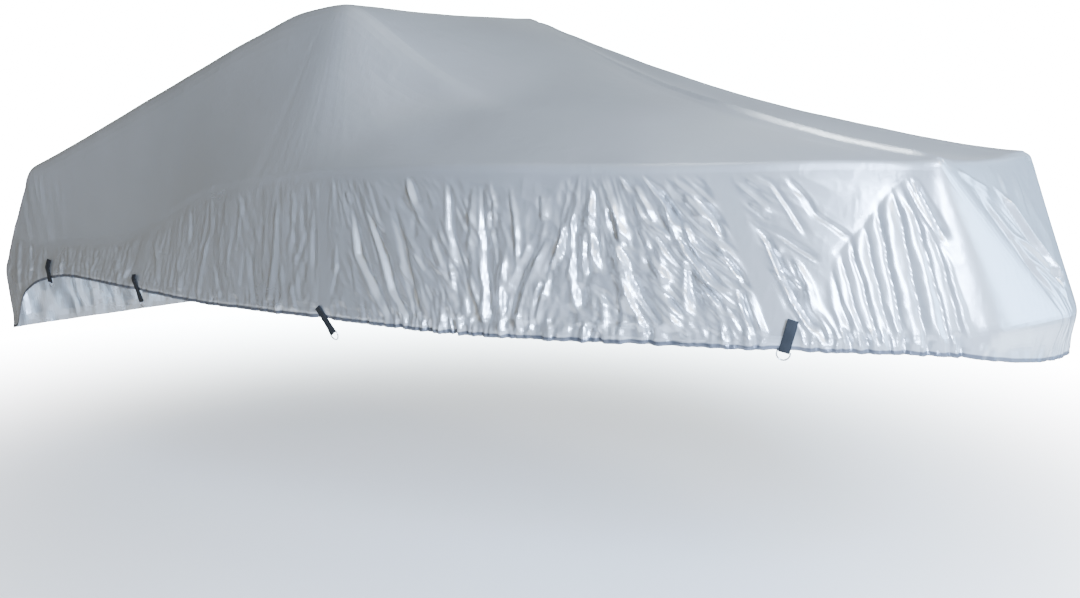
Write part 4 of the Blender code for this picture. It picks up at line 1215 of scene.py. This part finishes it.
def silver_cloth(name, settings):
    """Silver coated cloth: a fine weave under a slightly metallic skin, with the shade of the turned-under
    hem painted as a dark band along the hem.
    """
    made, tree, shader = new_material(name, {"Metallic": 0.65})
    place = object_place(tree)
    above_hem = add_node(tree, "Attribute", {}, attribute_name="above_hem").outputs["Fac"]
    weave = use_group(tree, "plain_weave", cloth_uv(tree), settings.thread)["Height"]
    crinkle = use_group(tree, "fine_crinkle", place, LARGE_CRINKLE)
    coating = mixed(tree, crinkle["Tone"], shade(settings.color, 0.90), shade(settings.color, 1.08))
    # painted shade: the cloth is darkened to the hem shade colour in a band along the hem, as the
    # turned-under hem lies in shade
    edge = mapped(tree, above_hem, *HEM_SHADE_BAND, 1.0, 0.0)
    color = mixed(tree, edge, coating, shade(settings.hem_shade_color, 1.0))
    taut = mapped(tree, above_hem, *TAUT_BAND, 0.0, TAUT_ROUGHNESS)
    roughness = math_node(tree, "ADD", mapped(tree, crinkle["Tone"], 0.0, 1.0, *COATING_ROUGHNESS), taut)
    squeezed = add_node(tree, "Mapping", {"Vector": place, "Scale": (1.0, 1.0, 0.4)}).outputs[0]
    small = use_group(tree, "fine_crinkle", squeezed, SMALL_CRINKLE)["Height"]
    creased = math_node(tree, "MULTIPLY_ADD", small, 0.40, crinkle["Height"])
    normal = bumped(tree, creased, 0.40, 0.004, Normal=bumped(tree, weave, 0.25, 0.0002))
    set_inputs(tree, shader, {"Base Color": color, "Roughness": roughness, "Normal": normal})
    return made


def dark_webbing(name, settings):
    """Dark woven webbing."""
    made, tree, shader = new_material(name, {"Roughness": 0.80, "Specular IOR Level": 0.25})
    weave = use_group(tree, "plain_weave", cloth_uv(tree), WEBBING_THREAD)["Height"]
    color = mixed(tree, weave, shade(settings.color, 0.6), shade(settings.color, 1.5))
    set_inputs(tree, shader, {"Base Color": color, "Normal": bumped(tree, weave, 0.7, 0.0005)})
    return made


def plated_steel(name, settings):
    """Plated steel wire with faint drawing marks."""
    made, tree, shader = new_material(name, {"Metallic": 1.0})
    marks = use_group(tree, "fine_crinkle", object_place(tree), STEEL_MARKS)
    color = mixed(tree, marks["Tone"], DARK_STEEL, PALE_STEEL)
    roughness = mapped(tree, marks["Height"], 0.0, 1.0, *STEEL_ROUGHNESS)
    set_inputs(tree, shader, {"Base Color": color, "Roughness": roughness})
    return made


def pale_floor():
    """A pale floor that glows a little and fades out towards its edge."""
    made, tree, shader = new_material("pale_floor", {
        "Base Color": (0.80, 0.81, 0.82, 1.0), "Roughness": 0.9,
        "Emission Color": (0.97, 0.98, 1.0, 1.0), "Emission Strength": 0.55})
    away = add_node(tree, "VectorMath", {0: object_place(tree)}, operation="LENGTH").outputs["Value"]
    set_inputs(tree, shader, {"Alpha": mapped(tree, away, *FLOOR_FADE, 1.0, 0.0, "SMOOTHERSTEP")})
    return made


# ---- Floor, light and camera ----
def make_floor(drop):
    mesh = bmesh.new()
    bmesh.ops.create_circle(mesh, segments=FLOOR_SIDES, radius=FLOOR_RADIUS, cap_ends=True)
    bmesh.ops.translate(mesh, verts=mesh.verts, vec=(0.0, 0.0, drop))
    floor = link_mesh(mesh, "floor")
    floor.data.materials.append(pale_floor())
    return floor


def make_world():
    """Soft surroundings, brighter overhead and in three lobes, before a white backdrop."""
    world = bpy.data.worlds.new("studio")
    world.use_nodes = True
    tree = world.node_tree
    way = add_node(tree, "TexCoord", {}).outputs["Generated"]
    height = add_node(tree, "SeparateXYZ", {0: way}).outputs["Z"]

    lobes = []
    for toward, start, full, strength in (BOW_LOBE, PORT_LOBE, STERN_LOBE):
        facing = add_node(tree, "VectorMath", {0: way, 1: toward}, operation="DOT_PRODUCT").outputs["Value"]
        lobes.append(mapped(tree, facing, start, full, 0.0, strength, "SMOOTHSTEP"))
    bow, port, stern = lobes
    light = mapped(tree, height, *RISING_LEVEL)
    for part in (bow, port, math_node(tree, "MULTIPLY", stern, STERN_SHARE),
                 mapped(tree, height, *ZENITH_LEVEL, "SMOOTHSTEP")):
        light = math_node(tree, "ADD", light, part)
    seen = add_node(tree, "LightPath", {}).outputs["Is Camera Ray"]
    strength = add_node(tree, "Mix", {"Factor": seen, "A": light, "B": BACKDROP_LEVEL}).outputs["Result"]
    color = mixed(tree, mapped(tree, height, *TINT_RISE, 0.0, 1.0), LOW_TINT, HIGH_TINT)
    color = mixed(tree, stern, color, WARM_TINT)
    color = mixed(tree, port, color, COOL_TINT)
    set_inputs(tree, tree.nodes["Background"], {"Color": color, "Strength": strength})
    return world


def add_light(light):
    data = bpy.data.lights.new(light.name, "AREA")
    data.shape = "RECTANGLE"
    data.size, data.size_y = light.size
    data.energy = light.power
    data.color = light.color
    data.spread = math.radians(light.spread)
    lamp = link_object(data, light.name)
    lamp.visible_camera = False
    lamp.location = light.place
    lamp.rotation_euler = (Vector(light.target) - Vector(light.place)).to_track_quat("-Z", "Y").to_euler()


def make_camera(lens):
    data = bpy.data.cameras.new("view")
    data.sensor_width = SENSOR_WIDTH
    data.lens = lens
    yaw, pitch, roll = (math.radians(angle) for angle in (CAMERA_YAW, CAMERA_PITCH, CAMERA_ROLL))
    forward = Vector((-math.sin(yaw) * math.cos(pitch), math.cos(yaw) * math.cos(pitch), -math.sin(pitch)))
    right = Vector((math.cos(yaw), math.sin(yaw), 0.0))
    down = forward.cross(right)
    turned_right = right * math.cos(roll) + down * math.sin(roll)
    turned_down = -right * math.sin(roll) + down * math.cos(roll)
    turn = Matrix((turned_right, -turned_down, -forward)).transposed().to_4x4()
    camera = link_object(data, "view")
    camera.matrix_world = Matrix.Translation(CAMERA_PLACE) @ turn
    return camera


# ---- Settings ----
def length_setting(name, description, default, low):
    return bpy.props.FloatProperty(name=name, description=description, default=default, min=low,
                                   subtype="DISTANCE", unit="LENGTH")


def color_setting(name, description, default):
    return bpy.props.FloatVectorProperty(name=name, description=description, default=default, size=3,
                                         min=0.0, max=1.0, subtype="COLOR")


class ClothSettings(bpy.types.PropertyGroup):
    thickness: length_setting("Thickness", "Thickness of the coated cloth", CLOTH_THICKNESS, 0.0001)
    thread: length_setting("Thread", "Width of one thread of the weave", 0.0011, 0.0002)
    color: color_setting("Color", "Color of the silver coating", (0.59, 0.60, 0.615))
    # The hem colour is painted shade: it darkens the band along the hem as the turned-under hem in shade
    hem_shade_color: color_setting("Hem color", "Color of the drawn edge of the hem", (0.17, 0.18, 0.21))


class WebbingSettings(bpy.types.PropertyGroup):
    color: color_setting("Color", "Color of the webbing loops", (0.018, 0.019, 0.021))


class StageSettings(bpy.types.PropertyGroup):
    lens: bpy.props.FloatProperty(name="Lens", description="Focal length of the camera", default=39.30,
                                  min=10.0, subtype="DISTANCE_CAMERA")
    floor_drop: length_setting("Floor", "Height of the floor", -2.5, -10.0)


# ---- Operators ----
MATERIALS = {
    "cover_cloth": ("silver_coated_cloth", silver_cloth),
    "webbing": ("dark_webbing", dark_webbing),
    "ring_steel": ("plated_steel", plated_steel),
}


def dress(piece, slot, settings, node):
    """Give a piece its slot's material and its body, and hide the model's part that it stands for."""
    name, maker = MATERIALS[slot]
    piece.data.materials.clear()
    piece.data.materials.append(bpy.data.materials.get(name) or maker(name, settings))
    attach(piece, "root")
    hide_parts(node)


def finish_cloth(piece):
    """Give a sheet of the cover its thickness and its material."""
    settings = bpy.context.scene.boat_cover_cloth
    solid = piece.modifiers.new("cloth thickness", "SOLIDIFY")
    solid.thickness = settings.thickness
    solid.offset = -1.0
    dress(piece, "cover_cloth", settings, "cover_cloth")


class BOATCOVER_OT_top(bpy.types.Operator):
    """Build the taut sheet over the cockpit, the windscreen and the foredeck"""
    bl_idname = "boat_cover.top"
    bl_label = "Top"

    def execute(self, context):
        grid, lengths = top_points()
        grid = grid[:, ::-1]
        grid = soften(grid, SOFT_ROUNDS, edge_weights(grid.shape[:2]))
        grid = grid + grid_normals(grid) * top_relief(grid)[..., None]
        across = np.cumsum(np.linalg.norm(np.diff(grid, axis=1, prepend=grid[:, :1]), axis=-1), axis=1)
        flat = np.stack(np.broadcast_arrays(lengths[:, None], across), axis=-1)
        finish_cloth(grid_object("cover_top", grid, flat, np.ones(grid.shape[:2])))
        return {"FINISHED"}


class BOATCOVER_OT_walls(bpy.types.Operator):
    """Build the side walls with their creases, bow pleats and drawn hem"""
    bl_idname = "boat_cover.walls"
    bl_label = "Side walls"

    def execute(self, context):
        ends = {"starboard": SIDE_LENGTH, "port": PORT_END - BOW_END}
        seams = {"starboard": PANEL_SEAM, "port": PORT_END - float(port_s(PANEL_SEAM_ROW))}
        for side, net in WALL_NETS.items():
            end, seam = ends[side], seams[side]
            aft = column_lengths((-WRAP, 0.0, seam), (net.aft_step, net.aft_step))
            middle = np.linspace(seam, FINE_FROM, net.middle_columns)
            fore = column_lengths((FINE_FROM, end, end + WRAP), (FORE_STEP, net.wrap_step))
            stretches = (("aft", aft, net.aft_rows, 1), ("middle", middle, net.middle_rows, 1),
                         ("fore", fore, net.fore_rows, 2))
            for part, run, rows, rounds in stretches:
                s = run if side == "starboard" else (PORT_END - run)[::-1]
                piece = skirt_piece("cover_wall_%s_%s" % (side, part), s, rows, wall_relief, rounds=rounds)
                finish_cloth(piece)
        return {"FINISHED"}


class BOATCOVER_OT_ends(bpy.types.Operator):
    """Build the panels over the bow and the stern"""
    bl_idname = "boat_cover.ends"
    bl_label = "Bow and stern"

    def execute(self, context):
        panels = (("cover_bow", SIDE_LENGTH, BOW_END, BOW_NET, bow_relief),
                  ("cover_stern", PORT_END, ROUND_LENGTH, STERN_NET, stern_relief))
        for name, start, end, net, relief in panels:
            s = np.linspace(start + WRAP, end - WRAP, net.columns)
            finish_cloth(skirt_piece(name, s, net.rows, relief, to_ridge=True))
        return {"FINISHED"}


class BOATCOVER_OT_loops(bpy.types.Operator):
    """Build the webbing loops and their rings"""
    bl_idname = "boat_cover.loops"
    bl_label = "Loops and rings"

    def execute(self, context):
        settings = context.scene.boat_cover_webbing
        for side, side_name in SIDE_NAMES.items():
            for loop in LOOPS:
                webbing, ring = side_name + "_loop_" + loop.name, side_name + "_ring_" + loop.name
                dress(make_webbing(loop, side, webbing), "webbing", settings, webbing)
                dress(make_ring(loop, side, ring), "ring_steel", settings, ring)
        return {"FINISHED"}


class BOATCOVER_OT_stage(bpy.types.Operator):
    """Set the floor, the light and the camera"""
    bl_idname = "boat_cover.stage"
    bl_label = "Stage"

    def execute(self, context):
        settings = context.scene.boat_cover_stage
        make_floor(settings.floor_drop)
        context.scene.world = make_world()
        for light in LIGHTS:
            add_light(light)
        context.scene.camera = make_camera(settings.lens)
        return {"FINISHED"}


class BOATCOVER_PT_panel(bpy.types.Panel):
    """Sizes, colors and steps of the boat cover"""
    bl_idname = "BOATCOVER_PT_panel"
    bl_label = "Boat Cover"
    bl_space_type = "VIEW_3D"
    bl_region_type = "UI"
    bl_category = "Boat Cover"

    def draw(self, context):
        for name, group in SETTINGS.items():
            for setting in group.__annotations__:
                self.layout.prop(getattr(context.scene, name), setting)
        for operator in OPERATORS:
            self.layout.operator(operator.bl_idname)


OPERATORS = (BOATCOVER_OT_top, BOATCOVER_OT_walls, BOATCOVER_OT_ends, BOATCOVER_OT_loops, BOATCOVER_OT_stage)
SETTINGS = {"boat_cover_cloth": ClothSettings, "boat_cover_webbing": WebbingSettings,
            "boat_cover_stage": StageSettings}


def register():
    for name, group in SETTINGS.items():
        bpy.utils.register_class(group)
        setattr(bpy.types.Scene, name, bpy.props.PointerProperty(type=group))
    for item in (*OPERATORS, BOATCOVER_PT_panel):
        bpy.utils.register_class(item)


def unregister():
    for item in (BOATCOVER_PT_panel, *reversed(OPERATORS)):
        bpy.utils.unregister_class(item)
    for name, group in reversed(SETTINGS.items()):
        delattr(bpy.types.Scene, name)
        bpy.utils.unregister_class(group)


def main():
    register()
    for operator in OPERATORS:
        group, name = operator.bl_idname.split(".")
        getattr(getattr(bpy.ops, group), name)()


if __name__ == "__main__":
    main()
